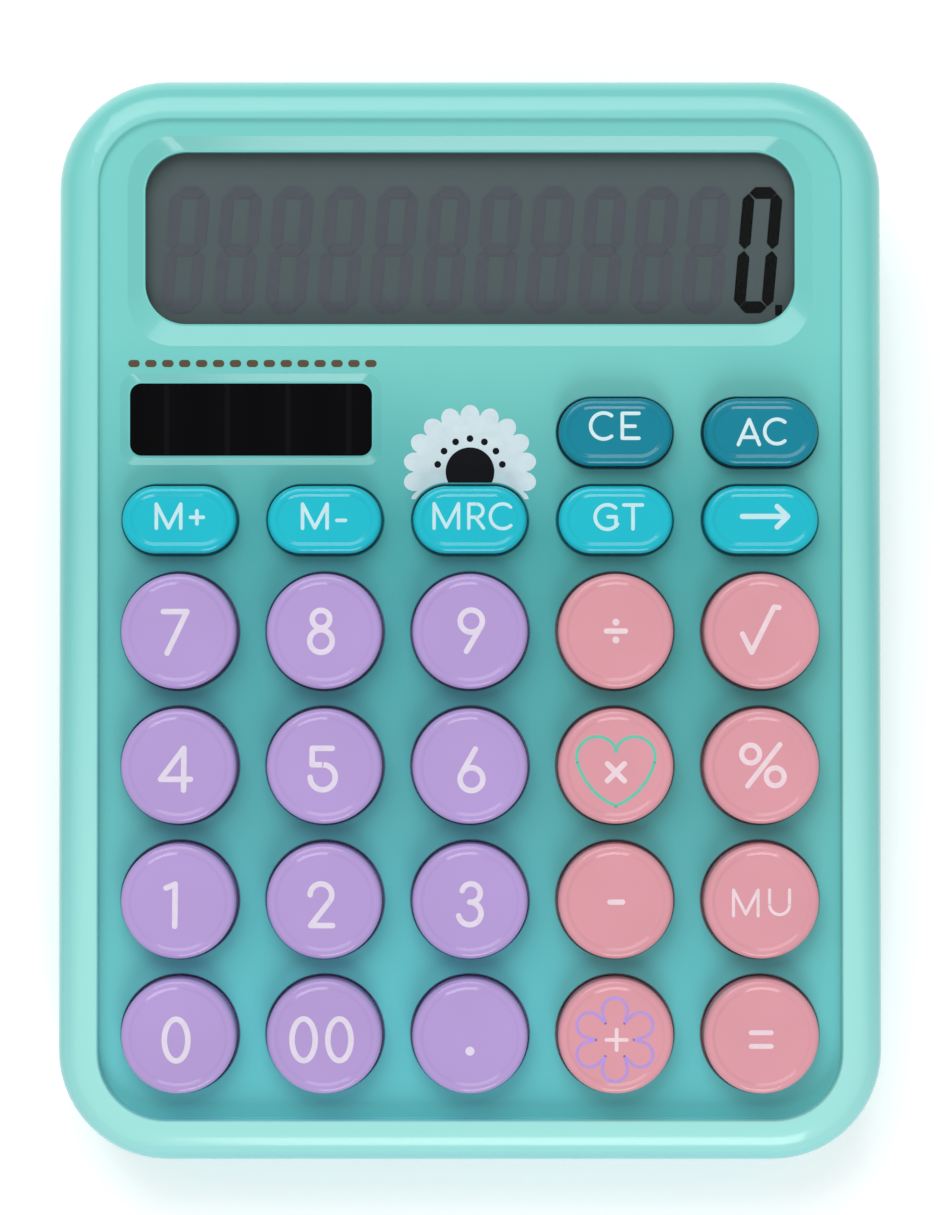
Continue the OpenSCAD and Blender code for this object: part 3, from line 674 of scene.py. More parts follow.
for node in keyNames:
    at = keyOutline(node)[0]
    pattern = patterns["long" if isLong(node) else "round"]
    cap = tip(copyTo(pattern, node + "_cap", (at.x, at.y, deckTop)), deckTilt)
    finishPiece(cap, node, [capCoats[slotOf[node]], shadow], [node])
for pattern in patterns.values():
    bpy.data.objects.remove(pattern)
print("keys done:", len(keyNames))

# legends, printed in the dishes: every measure is in millimetres from the middle of the cap

inkThick = 0.035 * mm


def bar(*points):  # straight strokes from point to point
    return [("stroke", pair) for pair in zip(points, points[1:])]


def arc(x, y, radius, start, end):  # start and end in degrees, anticlockwise from the right
    steps = max(6, int(abs(end - start) / 10))
    turns = [math.radians(start + (end - start) * i / steps) for i in range(steps + 1)]
    return [("stroke", [(x + radius * math.cos(a), y + radius * math.sin(a)) for a in turns])]


def ring(x, y, wide, high=None):
    return [("ring", (x, y, wide, high or wide))]


def dot(x, y, radius):
    return [("dot", (x, y, radius))]


def mirrored(strokes):
    return [(kind, [(-x, y) for x, y in points]) for kind, points in strokes]


def letterM(left, right, top, foot, dip):
    centre = (left + right) / 2
    return bar((left, foot), (left, top), (centre, dip), (right, top), (right, foot))


def heart():  # two lobes, and a flatter arc down to the tip
    tipY, lobe, flank = -5.81, (-2.75, 1.35, 3.0), 9.54
    turn = math.radians(195)
    side = Vector((lobe[0] + lobe[2] * math.cos(turn), lobe[1] + lobe[2] * math.sin(turn)))
    tipPoint = Vector((0, tipY))
    chord = tipPoint - side
    square = Vector((-chord.y, chord.x)).normalized()
    centre = (side + tipPoint) / 2 + square * math.sqrt(flank ** 2 - (chord.length / 2) ** 2)
    start = math.degrees(math.atan2(side.y - centre.y, side.x - centre.x)) % 360
    end = math.degrees(math.atan2(tipY - centre.y, -centre.x)) % 360
    half = arc(*lobe, 16.6, 195) + arc(centre.x, centre.y, flank, start, end)
    return half + mirrored(half)


def flower(x, y, petals=6, notch=2.85, reach=4.3, round=1.85):
    strokes = []
    half = math.pi / petals
    dent = Vector((notch * math.cos(half), notch * math.sin(half)))
    away = dent - Vector((reach, 0))
    touch = math.degrees(math.atan2(away.y, away.x) - math.acos(round / away.length))
    petal = bar((dent.x, dent.y), (reach + round * math.cos(math.radians(touch)), round * math.sin(math.radians(touch))))
    petal += arc(reach, 0, round, touch, -touch)
    petal += [(kind, [(px, -py) for px, py in points]) for kind, points in petal[:1]]
    for i in range(petals):
        turn = math.pi / 2 + 2 * half * i
        for kind, points in petal:
            strokes.append((kind, [(x + px * math.cos(turn) - py * math.sin(turn),
                                    y + px * math.sin(turn) + py * math.cos(turn)) for px, py in points]))
    return strokes


legends = {
    "key_7": (0.93, bar((-2.17, 2.9), (1.29, 2.9), (-1.62, -3.2))),
    "key_8": (0.93, ring(-0.45, 1.8, 1.28) + ring(-0.45, -1.42, 1.65)),
    "key_9": (0.93, ring(0.19, 1.5, 1.62) + bar((1.59, 0.68), (-0.52, -2.92))),
    "key_4": (0.93, bar((0.8, -3.48), (0.85, 2.65), (-2.58, -1.89), (1.82, -1.89))),
    "key_5": (0.93, bar((1.21, 2.65), (-1.72, 2.65), (-1.77, 0.25), (-0.2, 0.25)) + arc(-0.2, -1.59, 1.84, 90, -180)),
    "key_6": (0.93, ring(0.22, -1.87, 1.67) + bar((-1.23, -1.05), (0.79, 2.54))),
    "key_1": (0.93, bar((-1.77, 1.97), (-0.43, 2.53), (-0.5, -3.64))),
    "key_2": (0.93, arc(-0.45, 0.98, 1.59, 180, -38) + bar((0.8, 0.0), (-1.97, -3.54), (1.26, -3.54))),
    "key_3": (0.93, arc(0.15, 1.23, 1.35, 165, -90) + arc(-0.04, -1.76, 1.66, 90, -168)),
    "key_0": (0.93, ring(-0.3, -0.53, 1.73, 3.06)),
    "key_00": (0.93, ring(-3.0, -0.48, 1.7, 3.06) + ring(2.25, -0.48, 1.7, 3.06)),
    "key_point": (0.93, dot(0, -2.16, 0.67)),
    "key_divide": (0.9, bar((-1.4, 0.05), (1.4, 0.05)) + dot(0, 1.35, 0.52) + dot(0, -1.25, 0.52)),
    "key_root": (0.89, bar((-2.85, -0.37), (-1.49, -3.06), (1.78, 3.56), (2.51, 3.5))),
    "key_multiply": (0.92, bar((-1.24, 0.38), (1.24, -2.1)) + bar((-1.24, -2.1), (1.24, 0.38))),
    "key_percent": (0.87, ring(-1.65, 1.81, 1.31) + ring(1.96, -1.52, 1.31) + bar((2.64, 3.19), (-2.09, -2.88))),
    "key_minus": (0.89, bar((-0.88, -0.1), (0.98, -0.1))),
    "key_markup": (0.52, letterM(-4.16, -0.55, 1.68, -2.12, -1.86) + bar((1.13, 1.7), (1.13, -0.47))
                   + arc(2.595, -0.47, 1.465, 180, 360) + bar((4.06, -0.47), (4.06, 1.7))),
    "key_plus": (0.63, bar((-1.4, -0.5), (1.6, -0.5)) + bar((0.1, 1.0), (0.1, -2.0))),
    "key_equals": (0.82, bar((-1.57, 0.55), (1.37, 0.55)) + bar((-1.57, -1.45), (1.37, -1.45))),
    "key_clear_entry": (0.6, arc(-1.77, 0.87, 1.91, 52, 308) + bar((3.42, 2.72), (0.98, 2.72), (0.98, -0.93), (3.42, -0.93))
                        + bar((0.98, 0.84), (2.86, 0.84))),
    "key_clear_all": (0.6, bar((-3.37, -1.85), (-1.77, 1.8), (-0.28, -1.85)) + bar((-2.89, -0.79), (-0.65, -0.79))
                      + arc(2.3, 0.06, 1.8, 50, 310)),
    "key_grand_total": (0.6, arc(-1.21, 0.39, 1.8, 48, 325) + bar((0.06, -0.95), (0.06, 0.42), (-1.12, 0.42))
                        + bar((1.21, 2.16), (3.93, 2.16)) + bar((2.55, 2.16), (2.55, -1.35))),
    "key_backspace": (0.88, bar((-2.78, 0.48), (3.73, 0.48)) + bar((2.33, 1.94), (3.87, 0.48), (2.33, -1.07))),
    "key_memory_plus": (0.6, letterM(-3.28, 0.3, 2.28, -1.25, -1.2) + bar((1.73, 0.35), (3.63, 0.35))
                        + bar((2.68, 1.3), (2.68, -0.6))),
    "key_memory_minus": (0.6, letterM(-3.2, 0.41, 2.28, -1.25, -1.2) + bar((1.84, -0.1), (3.1, -0.1))),
    "key_memory_recall": (0.55, letterM(-5.27, -1.68, 2.36, -1.26, -1.1)
                          + bar((-0.17, -1.26), (-0.17, 2.3), (0.95, 2.3)) + arc(0.95, 1.33, 0.97, 90, -90)
                          + bar((0.95, 0.36), (-0.17, 0.36)) + bar((0.8, 0.36), (2.0, -1.26))
                          + arc(4.8, 0.5, 1.82, 48, 312)),
}
outlines = {"key_multiply": (0.47, heart(), mintInk), "key_plus": (0.47, flower(-0.15, -0.5), lilacInk)}


def drawStroke(points):  # a chain of edges in the open mesh
    bpy.ops.mesh.select_mode(type="VERT")
    bpy.ops.mesh.select_all(action="DESELECT")
    start = Vector((points[0][0] * mm, points[0][1] * mm, 0))
    bpy.ops.mesh.primitive_plane_add(size=mm, location=start)
    bpy.ops.mesh.merge(type="CENTER")
    for before, after in zip(points, points[1:]):
        move = ((after[0] - before[0]) * mm, (after[1] - before[1]) * mm, 0)
        bpy.ops.mesh.extrude_vertices_move(TRANSFORM_OT_translate={"value": move})


def makeLegend(name, stroke, strokes):  # round ended strokes, flattened to the thickness of ink
    bpy.ops.mesh.primitive_plane_add(size=mm)
    legend = bpy.context.active_object
    legend.name = name
    bpy.ops.object.mode_set(mode="EDIT")
    bpy.ops.mesh.delete(type="VERT")
    ends = []
    for kind, shape in strokes:
        if kind == "stroke":
            drawStroke(shape)
            ends += [shape[0], shape[-1]]
        elif kind == "ring":
            x, y, wide, high = shape
            bpy.ops.mesh.primitive_circle_add(vertices=48, radius=wide * mm, location=(x * mm, y * mm, 0))
            bpy.ops.transform.resize(value=(1, high / wide, 1), center_override=(x * mm, y * mm, 0))
    closeMesh()
    choose(legend)
    if legend.data.edges:
        bpy.ops.object.convert(target="CURVE")
        legend = bpy.context.active_object
        legend.data.bevel_depth = stroke * mm / 2
        legend.data.bevel_resolution = 2
        legend.data.use_fill_caps = True
        bpy.ops.object.convert(target="MESH")
        legend = bpy.context.active_object
    bpy.ops.object.mode_set(mode="EDIT")
    blobs = [(x, y, stroke / 2) for x, y in dict.fromkeys(ends)] + [shape for kind, shape in strokes if kind == "dot"]
    for x, y, radius in blobs:
        bpy.ops.mesh.primitive_uv_sphere_add(segments=16, ring_count=8, radius=radius * mm, location=(x * mm, y * mm, 0))
    bpy.ops.mesh.select_all(action="SELECT")
    tallest = max([stroke / 2] + [shape[2] for kind, shape in strokes if kind == "dot"])
    bpy.ops.transform.resize(value=(1, 1, inkThick / (tallest * mm)), center_override=(0, 0, 0))
    bpy.ops.mesh.normals_make_consistent(inside=False)
    closeMesh()
    smooth(legend, 60)
    return legend


def placeLegend(legend, node, coat):
    at = keyOutline(node)[0]
    legend.location = (at.x, at.y, deckTop + capRise[node] - keyShape["dish"])
    applyPlace(legend)
    tip(legend, deckTilt)
    finishPiece(legend, node, [coat])


for node, (stroke, strokes) in legends.items():
    placeLegend(makeLegend(node + "_legend", stroke * 0.88, strokes), node, inkOn[slotOf[node]])
for node, (stroke, strokes, ink) in outlines.items():
    placeLegend(makeLegend(node + "_outline", stroke, strokes), node, ink)
print("legends done")

# display: a lens, the glass behind it, and its segments in the thin gap between them

displayShape = {"lens": 0.88 * mm, "segment": 1.75 * mm, "long": 8.5 * mm, "wide": 5.9 * mm, "slant": math.radians(5),
                "first": -42.3 * mm, "pitch": 7.74 * mm, "digits": 12, "drop": -1.55 * mm, "ink": 0.05 * mm,
                "dotRight": 3.05 * mm, "dot": 1.05 * mm, "edge": 0.3 * mm, "border": 0.28 * mm}
crystal = liquidCrystal("liquid_crystal", linear(104, 116, 118), linear(93, 106, 108), 0.02, 0.09)
darkSegment = printInkAndPaintedShadow("dark_segment", linear(4, 6, 7))
faintSegment = printInkAndPaintedShadow("faint_segment", linear(94, 99, 108))
pane = boxIn("display_window", deckTilt)
glassTop = boxIn("lcd_glass", deckTilt)[1].z


def makeLens():
    s = displayShape
    lens = addSlab("display_lens", Vector((pane[0].x, pane[0].y, pane[1].z - s["lens"])), pane[1],
                   shellShape["paneRound"] + shellShape["lensLap"])
    openMesh(lens)
    pick("FACE", isUp)
    bpy.ops.mesh.region_to_loop()
    bpy.ops.mesh.bevel(offset=s["edge"], segments=2, affect="EDGES")
    pick("FACE", isUp)
    bpy.ops.mesh.inset(thickness=shellShape["lensLap"] - s["edge"] + s["border"])
    closeMesh()
    # painted shadow: the outer ring of the lens top gets the dark band
    inner = max(lens.data.polygons, key=lambda face: face.area * (face.normal.z > 0.9))
    for face in lens.data.polygons:
        face.material_index = 1 if face.normal.z > 0.9 and face.index != inner.index else 0
    smooth(lens, 30)
    finishPiece(tip(lens, deckTilt), "display_window", [lensCoat, lensPaintedShadow], ["display_window"])


def makeSegment(length, turn, x, y):  # a bar with pointed ends
    s = displayShape
    half = s["segment"] / 2
    bpy.ops.mesh.primitive_cube_add(size=1, location=(0, 0, 0), scale=(length - 2.1 * half, 2 * half, s["ink"]))
    segment = bpy.context.active_object
    applyPlace(segment)
    openMesh(segment)
    for side in (-1, 1):
        pick("FACE", lambda face: face.normal.x * side > 0.9)
        bpy.ops.mesh.extrude_region_move(TRANSFORM_OT_translate={"value": (side * half * 0.96, 0, 0)})
        bpy.ops.transform.resize(value=(1, 0.08, 1))
    closeMesh()
    segment.rotation_euler = (0, 0, turn)
    segment.location = (x, y, 0)
    applyPlace(segment)
    return segment


def makeDigit(name, lit):
    s = displayShape
    tall, wide = s["long"], s["wide"] - s["segment"]
    upright = math.pi / 2 - s["slant"]
    lean = math.tan(s["slant"])
    spots = [(0, tall), (0, -tall), (0, 0), (wide / 2, tall / 2), (wide / 2, -tall / 2), (-wide / 2, tall / 2),
             (-wide / 2, -tall / 2)]
    pieces = []
    for number in lit:
        x, y = spots[number]
        length, turn = (wide, 0) if number < 3 else (tall, upright)
        pieces.append(makeSegment(length * 0.985, turn, x + y * lean, y))
    return joinAll(pieces, name)


def makeDisplay():
    s = displayShape
    at = middle(pane)
    level = glassTop + s["ink"] / 2 + 0.005 * mm
    ghost = makeDigit("unlit", range(7))
    ghosts = []
    for i in range(s["digits"] - 1):
        ghosts.append(copyTo(ghost, "unlit", (at.x + s["first"] + i * s["pitch"], at.y + s["drop"], level)))
    bpy.data.objects.remove(ghost)
    unlit = tip(joinAll(ghosts, "unlit_segments"), deckTilt)
    finishPiece(unlit, "lcd_glass", [faintSegment])
    last = Vector((at.x + s["first"] + (s["digits"] - 1) * s["pitch"], at.y + s["drop"], level))
    zero = makeDigit("lit", [0, 1, 3, 4, 5, 6])
    spot = Vector((s["dotRight"], -s["long"] - s["segment"] / 4, 0))
    size = Vector((s["dot"] / 2, s["dot"] * 0.75, s["ink"] / 2))
    point = addSlab("point", spot - size, spot + size)
    zero = joinAll([zero, point], "lit_segments")
    zero.location = last
    applyPlace(zero)
    finishPiece(tip(zero, deckTilt), "lcd_glass", [darkSegment])


makeLens()
makeDisplay()
print("display done")

# printing on the deck: a dashed rule, and half a daisy behind the middle long key

printShape = {"dash": 1.7 * mm, "dashHigh": 1.05 * mm, "dashGap": 0.8 * mm, "ruleWide": 36.6 * mm, "ruleUp": 7.2 * mm,
              "petals": 9, "petalOut": 9.0 * mm, "petalDip": 1.6 * mm, "eye": 3.6 * mm, "rise": 1.6 * mm, "stamen": 0.5 * mm}


def makeRule():
    s = printShape
    solar = boxIn("solar_window", deckTilt)
    step = s["dash"] + s["dashGap"]
    count = int(s["ruleWide"] / step) + 1
    dashes = []
    for i in range(count):
        x = solar[0].x - 0.3 * mm + s["dash"] / 2 + i * step
        dashes.append(addDisc("dash", s["dash"], s["dashHigh"], deckTop - inkThick, deckTop + inkThick,
                              x, solar[1].y + s["ruleUp"] - 4.2 * mm, 24))
    rule = tip(joinAll(dashes, "dashed_rule"), deckTilt)
    finishPiece(rule, "front_case", [brownInk])


def cutByKey(piece, at, width, height):  # stops the print at the key's hole
    out = 2 * (shellShape["holeGap"] + shellShape["holeEdge"] + 0.15 * mm)
    openMesh(piece)
    bpy.ops.mesh.select_all(action="SELECT")
    bpy.ops.mesh.bisect(plane_co=(0, at.y + height / 2 - 1.8 * mm, 0), plane_no=(0, 1, 0), use_fill=True, clear_inner=True)
    closeMesh()
    cutWith(piece, addDisc("hole", width + out, height + out, deckTop - mm, deckTop + mm, at.x, at.y))


def makeDaisy():
    s = printShape
    at, width, height = keyOutline("key_memory_recall")
    foot = at.y + height / 2 + 0.6 * mm
    bpy.ops.mesh.primitive_circle_add(vertices=216, radius=s["petalOut"], fill_type="NGON",
                                      location=(at.x, foot + s["rise"], deckTop - inkThick))
    petals = bpy.context.active_object
    applyPlace(petals)
    centre = Vector((at.x, foot + s["rise"]))
    for vertex in petals.data.vertices:
        spoke = vertex.co.to_2d() - centre
        lift = abs(math.sin(math.atan2(spoke.y, spoke.x) * s["petals"])) ** 0.6
        spoke = spoke.normalized() * (s["petalOut"] + s["petalDip"] * (lift - 1) + 0.9 * mm)
        vertex.co.x, vertex.co.y = centre + spoke
    openMesh(petals)
    bpy.ops.mesh.select_all(action="SELECT")
    pullOut(z=2 * inkThick)
    bpy.ops.mesh.select_all(action="SELECT")
    bpy.ops.mesh.normals_make_consistent(inside=False)
    closeMesh()
    cutByKey(petals, at, width, height)
    petals.name = "daisy_petals"
    finishPiece(tip(petals, deckTilt), "front_case", [paleInk])
    eye = addDisc("daisy_eye", 0, 2 * s["eye"], deckTop, deckTop + 1.6 * inkThick, at.x, foot + s["rise"], 64)
    cutByKey(eye, at, width, height)
    stamens = [eye]
    for i in range(7):
        turn = math.pi * (i + 0.5) / 7
        reach = s["eye"] + 1.3 * mm
        stamens.append(addDisc("stamen", 0, 2 * s["stamen"], deckTop, deckTop + 1.6 * inkThick,
                               at.x + reach * math.cos(turn), foot + s["rise"] + reach * math.sin(turn), 20))
    finishPiece(tip(joinAll(stamens, "daisy_eye"), deckTilt), "front_case", [blackInk])


makeRule()
makeDaisy()
print("printing done")

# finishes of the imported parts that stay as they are

matt = {"patches": 80, "drift": 0.04, "grain": 1500, "rough": (0.45, 0.6), "bump": 0.2,
        "coat": 0.0, "coatRough": 0.3, "depth": 0.0}
rubber = {"patches": 120, "drift": 0.06, "grain": 2400, "rough": (0.65, 0.85), "bump": 0.35,
          "coat": 0.0, "coatRough": 0.3, "depth": 0.0}
satin = {"patches": 200, "drift": 0.05, "grain": 3000, "rough": (0.3, 0.42), "bump": 0.15,
         "coat": 0.2, "coatRough": 0.2, "depth": 0.0}
zinc = metal("zinc_plate", (0.62, 0.62, 0.6, 1), (0.25, 0.4), 2600)
nickel = metal("nickel_plate", (0.72, 0.7, 0.66, 1), (0.15, 0.3), 1800)
coats = {
    "lcd_glass": crystal, "lcd_frame": mouldedPlastic("white_holder", linear(226, 226, 222), matt),
    "zebra_strip": mouldedPlastic("zebra_rubber", linear(206, 120, 150), rubber),
    "solar_window": solarFilm("solar_window"), "solar_cell": solarFilm("solar_film"),
    "solar_leads": mouldedPlastic("red_lead", linear(170, 30, 26), satin),
    "keypad_membrane": mouldedPlastic("silicone", linear(214, 218, 216), rubber),
    "contact_pills": mouldedPlastic("carbon_rubber", linear(30, 30, 32), rubber),
    "circuit_board": mouldedPlastic("board_laminate", linear(34, 110, 62), satin),
    "chip_blob": mouldedPlastic("black_resin", linear(18, 18, 20), satin),
    "board_parts": mouldedPlastic("part_jacket", linear(60, 44, 30), satin),
    "board_screws": zinc, "case_screws": zinc, "battery_spring": nickel, "contact_plates": nickel,
    "battery_cell": mouldedPlastic("cell_jacket", linear(60, 62, 70), satin),
    "battery_leads": mouldedPlastic("battery_lead", linear(160, 26, 24), satin),
    "rubber_feet": mouldedPlastic("foot_rubber", linear(150, 152, 152), rubber),
    "battery_door": mint,
}
for node, coat in coats.items():
    nodes[node].data.materials.clear()
    nodes[node].data.materials.append(coat)
print("packed parts finished:", len(coats))

# lower shell: a tub under the seam, with a lip, screw pillars and the battery bay

coverShape = {
    "step": 0.25 * mm, "foot": 1.2 * mm, "base": 3 * mm, "draft": 1.6 * mm, "wall": 2.2 * mm, "floor": 2 * mm,
    "inside": 1.5 * mm, "lipIn": 2.35 * mm, "lip": 1.2 * mm, "lipFoot": 2 * mm, "hookX": 30 * mm, "hookWide": 9 * mm,
    "hookHigh": 2.8 * mm, "hookBite": 0.6 * mm, "hookThick": 1.6 * mm, "pillar": 3.6 * mm, "pillarTop": 1 * mm,
    "well": 2.6 * mm, "seat": 3 * mm, "shank": 1.4 * mm, "bay": (50.5 * mm, 15 * mm), "bayWall": 1.4 * mm,
    "bayClear": 0.3 * mm, "tabWide": 2.4 * mm, "contact": 0.4 * mm, "notch": 4 * mm, "tongueX": 15.25 * mm,
    "tongueWide": 6.6 * mm, "footRound": 5 * mm, "footSink": 0.8 * mm,
}
seam = caseBox[0].z
seamPivot = Matrix.Rotation(caseTilt, 3, "X") @ Vector((0, caseMiddle.y, seam))


def makeTub():
    s = coverShape
    half = (caseBox[1] - caseBox[0]) / 2 - Vector((s["step"], s["step"], 0))
    low = Vector((-half.x, seamPivot.y - half.y, s["foot"]))
    tub = addSlab("back_shell", low, Vector((half.x, seamPivot.y + half.y, seamPivot.z)), shellShape["corner"] - s["step"], 14)
    openMesh(tub)
    pick("FACE", isUp)
    bpy.ops.transform.rotate(value=-caseTilt, orient_axis="X", center_override=seamPivot)
    pick("FACE", isDown)
    long = half.y * math.cos(caseTilt) - s["draft"]
    bpy.ops.transform.resize(value=((half.x - s["draft"]) / half.x, long / half.y, 1),
                             center_override=(0, seamPivot.y, s["foot"]))
    bpy.ops.transform.translate(value=(0, -seamPivot.y, 0))
    bpy.ops.mesh.region_to_loop()
    bpy.ops.mesh.bevel(offset=s["base"], segments=6, affect="EDGES")
    pick("FACE", lambda face: face.normal.z > 0.99)
    bpy.ops.mesh.inset(thickness=s["wall"])
    pullOut(z=-1 * mm)
    bpy.ops.transform.resize(value=(1 - s["draft"] / half.x, 1 - s["draft"] / half.y, 0),
                             center_override=(0, 0, s["foot"] + s["floor"]))
    bpy.ops.mesh.region_to_loop()
    bpy.ops.mesh.bevel(offset=s["inside"], segments=3, affect="EDGES")
    closeMesh()
    footLumps = [middle(box).x for box in lumpsIn("rubber_feet", 0, 6 * mm)]
    sliceAt(tub, screwLumps + footLumps + [side * (s["hookX"] + 1 * mm) for side in (-1, 1)] + [0.5 * mm])
    return tub


def makeLip():
    s = coverShape
    out = Vector((s["lipIn"], s["lipIn"], 0))
    low = Vector((caseBox[0].x, caseBox[0].y, seam - s["lipFoot"])) + out
    high = Vector((caseBox[1].x, caseBox[1].y, seam + s["lip"])) - out
    lip = addSlab("lip", low, high, shellShape["corner"] - s["lipIn"])
    thick = Vector((s["lip"], s["lip"], -1 * mm))
    cutWith(lip, addSlab("room", low + thick, high - thick, shellShape["corner"] - s["lipIn"] - s["lip"]))
    for side in (-1, 1):
        left, right = side * s["hookX"] - s["hookWide"] / 2, side * s["hookX"] + s["hookWide"] / 2
        top = high.z + s["hookHigh"]
        cutWith(lip, addSlab("hook", Vector((left, high.y - s["lip"], seam)), Vector((right, high.y, top))), "UNION")
        bite = addSlab("bite", Vector((left, high.y - 0.3 * mm, top - s["hookThick"])),
                       Vector((right, high.y + s["hookBite"], top)))
        cutWith(lip, bite, "UNION")
    return tip(lip, caseTilt)


def makeCover():
    s = coverShape
    cover = makeTub()
    cutWith(cover, makeLip(), "UNION")
    pillars, wells, shanks = [], [], []
    for box in lumpsIn("case_screws", caseTilt, 4 * mm):
        at = middle(box)
        down = (seam * math.cos(caseTilt) + at.y * math.sin(caseTilt) - s["foot"] - s["floor"] / 2) / math.cos(caseTilt)
        pillars.append(addDisc("pillar", 0, 2 * s["pillar"], seam - down, seam + s["pillarTop"], at.x, at.y, 48))
        wells.append(addDisc("well", 0, 2 * s["well"], seam - down - 4 * mm, seam + s["pillarTop"] - s["seat"], at.x, at.y, 48))
        shanks.append(addDisc("shank", 0, 2 * s["shank"], seam - 4 * mm, seam + 2 * mm, at.x, at.y, 32))
    cutWith(cover, tip(joinAll(pillars, "pillars"), caseTilt), "UNION")
    cell = boxIn("battery_cell", 0)
    mid = middle(cell)
    bayTop = cell[1].z + s["bayClear"]
    reach = Vector((s["bay"][0] / 2, s["bay"][1] / 2, 0))
    wall = Vector((s["bayWall"], s["bayWall"], 0))
    spot = Vector((0, mid.y, 0))
    outside = addSlab("bay", spot - reach - wall + Vector((0, 0, s["foot"] + s["floor"] / 2)),
                      spot + reach + wall + Vector((0, 0, bayTop + s["bayWall"])))
    cutWith(cover, outside, "UNION")
    cutWith(cover, addSlab("bay", spot - reach, spot + reach + Vector((0, 0, bayTop))))
    tabs, tongues = [], []
    for side in (-1, 1):
        x = side * (reach.x - s["contact"] / 2)
        size = Vector((0.6 * mm, s["tabWide"] / 2, 0))
        tabs.append(addSlab("tab", Vector((x, mid.y, bayTop - mm)) - size, Vector((x, mid.y, bayTop + 3 * mm)) + size))
        size = Vector((s["tongueWide"] / 2, 2 * mm, 0))
        place = Vector((side * s["tongueX"], mid.y - reach.y - 1.3 * mm, s["foot"] + s["floor"]))
        tongues.append(addSlab("slot", place - size, place + size + Vector((0, 0, 2.4 * mm))))
    feet = [addDisc("foot", 0, 2 * s["footRound"], 0, s["foot"] + s["footSink"], middle(box).x, middle(box).y, 64)
            for box in lumpsIn("rubber_feet", 0, 6 * mm)]
    notch = addDisc("notch", 0, 2 * s["notch"], 0, s["foot"] + 0.7 * mm, 0, mid.y + reach.y, 64)
    cutters = [tip(joinAll(wells, "wells"), caseTilt), tip(joinAll(shanks, "shanks"), caseTilt), joinAll(tabs, "tabs"),
               joinAll(tongues, "slots"), joinAll(feet, "feet"), notch]
    for cutter in cutters:
        cutWith(cover, cutter)
    smooth(cover, 25, weighted=True)
    finishPiece(cover, "back_cover", [mint], ["back_cover"])
    return cover


cover = makeCover()
print("lower shell done:", len(cover.data.polygons), "faces")

# keypad: the sheet, and a dome under each key

domeShape = {"foot": 4.6 * mm, "top": 2.9 * mm, "high": 2 * mm, "roof": 0.8 * mm, "wall": 0.7 * mm, "nub": 1.5 * mm,
             "nubFoot": 0.5 * mm, "travel": 1.2 * mm, "skin": 0.02 * mm}


def makeDome(level):  # hollow, with the stub that carries the contact inside
    s = domeShape
    bpy.ops.mesh.primitive_cone_add(vertices=48, radius1=s["foot"], radius2=s["top"], depth=s["high"],
                                    location=(0, 0, level + s["high"] / 2))
    dome = bpy.context.active_object
    dome.name = "dome"
    applyPlace(dome)
    openMesh(dome)
    pick("FACE", isDown)
    bpy.ops.mesh.inset(thickness=s["wall"])
    pullOut(z=s["high"] - s["roof"])
    share = (s["top"] - s["wall"]) / (s["foot"] - s["wall"])
    bpy.ops.transform.resize(value=(share, share, 1), center_override=(0, 0, level))
    bpy.ops.mesh.inset(thickness=s["top"] - s["wall"] - s["nub"])
    pullOut(z=s["nubFoot"] - s["high"] + s["roof"])
    closeMesh()
    smooth(dome, 30)
    return dome


def makeKeypad():
    s = domeShape
    turn = Matrix.Rotation(-deckTilt, 3, "X")
    top = boxIn("keypad_membrane", deckTilt)[1].z
    level = top - s["high"]
    sheet = copyTo(nodes["keypad_membrane"], "keypad_sheet", (0, 0, 0))
    openMesh(sheet)
    bpy.ops.mesh.select_all(action="SELECT")
    bpy.ops.mesh.bisect(plane_co=Matrix.Rotation(deckTilt, 3, "X") @ Vector((0, 0, level - s["skin"])),
                        plane_no=deckNormal, use_fill=True, clear_outer=True)
    closeMesh()
    finishPiece(sheet, "keypad_membrane", [coats["keypad_membrane"]], ["keypad_membrane"])
    pattern = makeDome(level)
    for node in keyNames:
        at = keyOutline(node)[0]
        dome = tip(copyTo(pattern, node + "_dome", (at.x, at.y, 0)), deckTilt)
        finishPiece(dome, "keypad_membrane", [coats["keypad_membrane"]])
        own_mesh(dome)
    bpy.data.objects.remove(pattern)


makeKeypad()
print("keypad done")

# floor, lights and camera

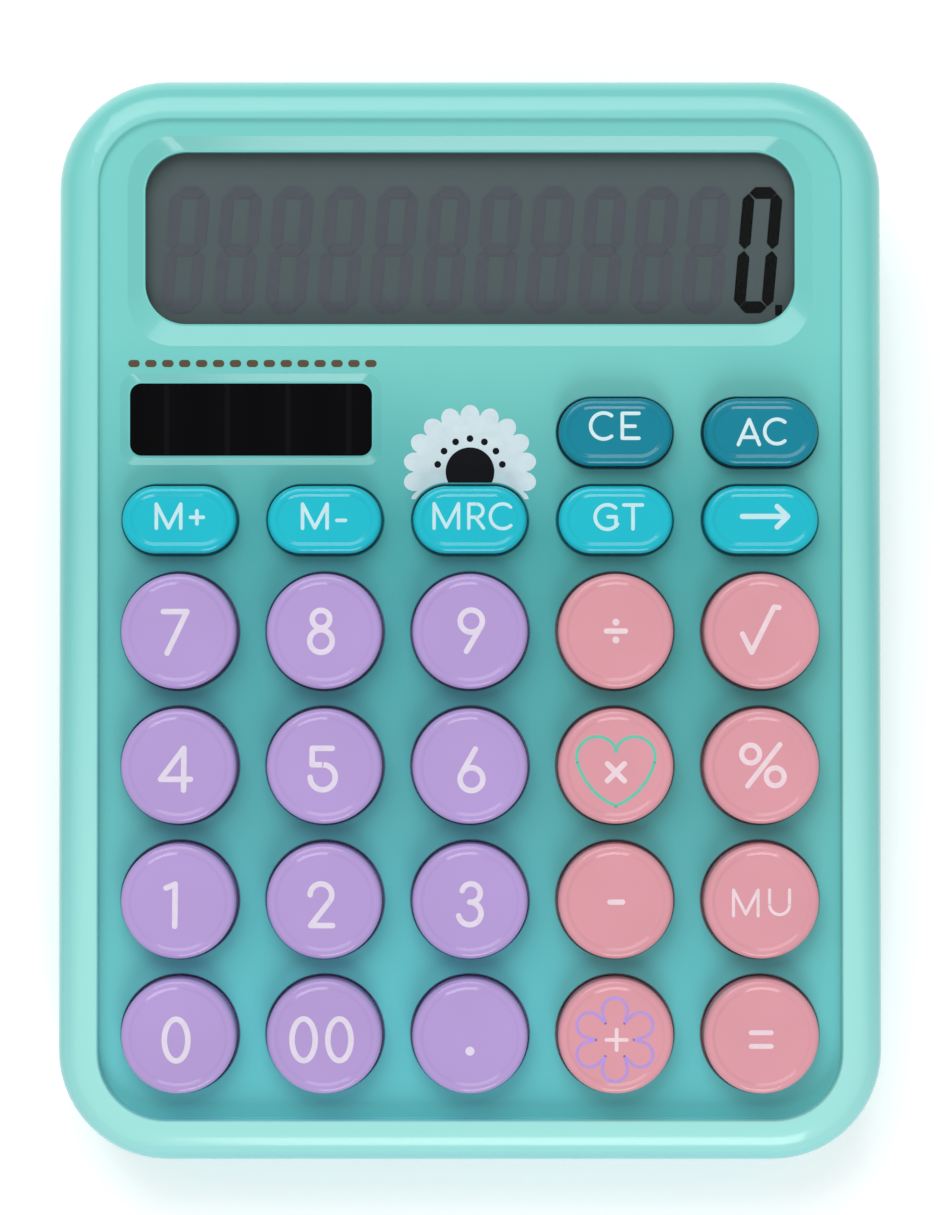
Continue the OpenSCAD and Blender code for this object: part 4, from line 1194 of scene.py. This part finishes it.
studio = {"floor": 1.6, "far": 520 * mm, "lens": 104.28, "aim": 1.7 * mm, "air": 0.45, "glow": 0.24,
          "rear": {"at": (-0.15, 0.55, 0.75), "size": 0.7, "power": 5.0},
          "front": {"at": (0.1, -0.75, 0.45), "size": 0.4, "power": 2.8}}


def makeFloor():
    coat, parts, links, shader = newCoat("studio_floor")
    place = parts.new("ShaderNodeTexCoord").outputs["Object"]
    drift = addNoise(parts, links, place, 6)
    links.new(addRamp(parts, links, drift, [(0.3, (0.92, 0.92, 0.92, 1)), (0.7, (0.95, 0.95, 0.95, 1))]),
              shader.inputs["Base Color"])
    shader.inputs["Roughness"].default_value = 0.9
    shader.inputs["Emission Color"].default_value = (1, 1, 1, 1)
    shader.inputs["Emission Strength"].default_value = studio["glow"]
    bpy.ops.mesh.primitive_plane_add(size=studio["floor"], location=(0, 0, 0))
    floor = bpy.context.active_object
    floor.name = "studio_floor"
    floor.data.materials.append(coat)


def addLight(name, setting, target):
    place = Vector(setting["at"])
    bpy.ops.object.light_add(type="AREA", location=place)
    light = bpy.context.active_object
    light.name = name
    light.data.size = setting["size"]
    light.data.energy = setting["power"]
    light.rotation_euler = (target - place).to_track_quat("-Z", "Y").to_euler()


def makeStudio():
    makeFloor()
    target = Vector((0, 0, 0.02))
    addLight("rear_light", studio["rear"], target)
    addLight("front_light", studio["front"], target)
    world = bpy.data.worlds.new("studio_air")
    world.use_nodes = True
    world.node_tree.nodes["Background"].inputs["Color"].default_value = (1, 1, 1, 1)
    world.node_tree.nodes["Background"].inputs["Strength"].default_value = studio["air"]
    bpy.context.scene.world = world
    bpy.context.scene.view_settings.view_transform = "Standard"
    aim = Matrix.Rotation(deckTilt, 3, "X") @ (deckMiddle + Vector((0, studio["aim"], studio["far"])))
    bpy.ops.object.camera_add(location=aim, rotation=(deckTilt, 0, 0))
    camera = bpy.context.active_object
    camera.data.lens = studio["lens"]
    camera.data.sensor_width = 36
    bpy.context.scene.camera = camera


makeStudio()
print("studio done")
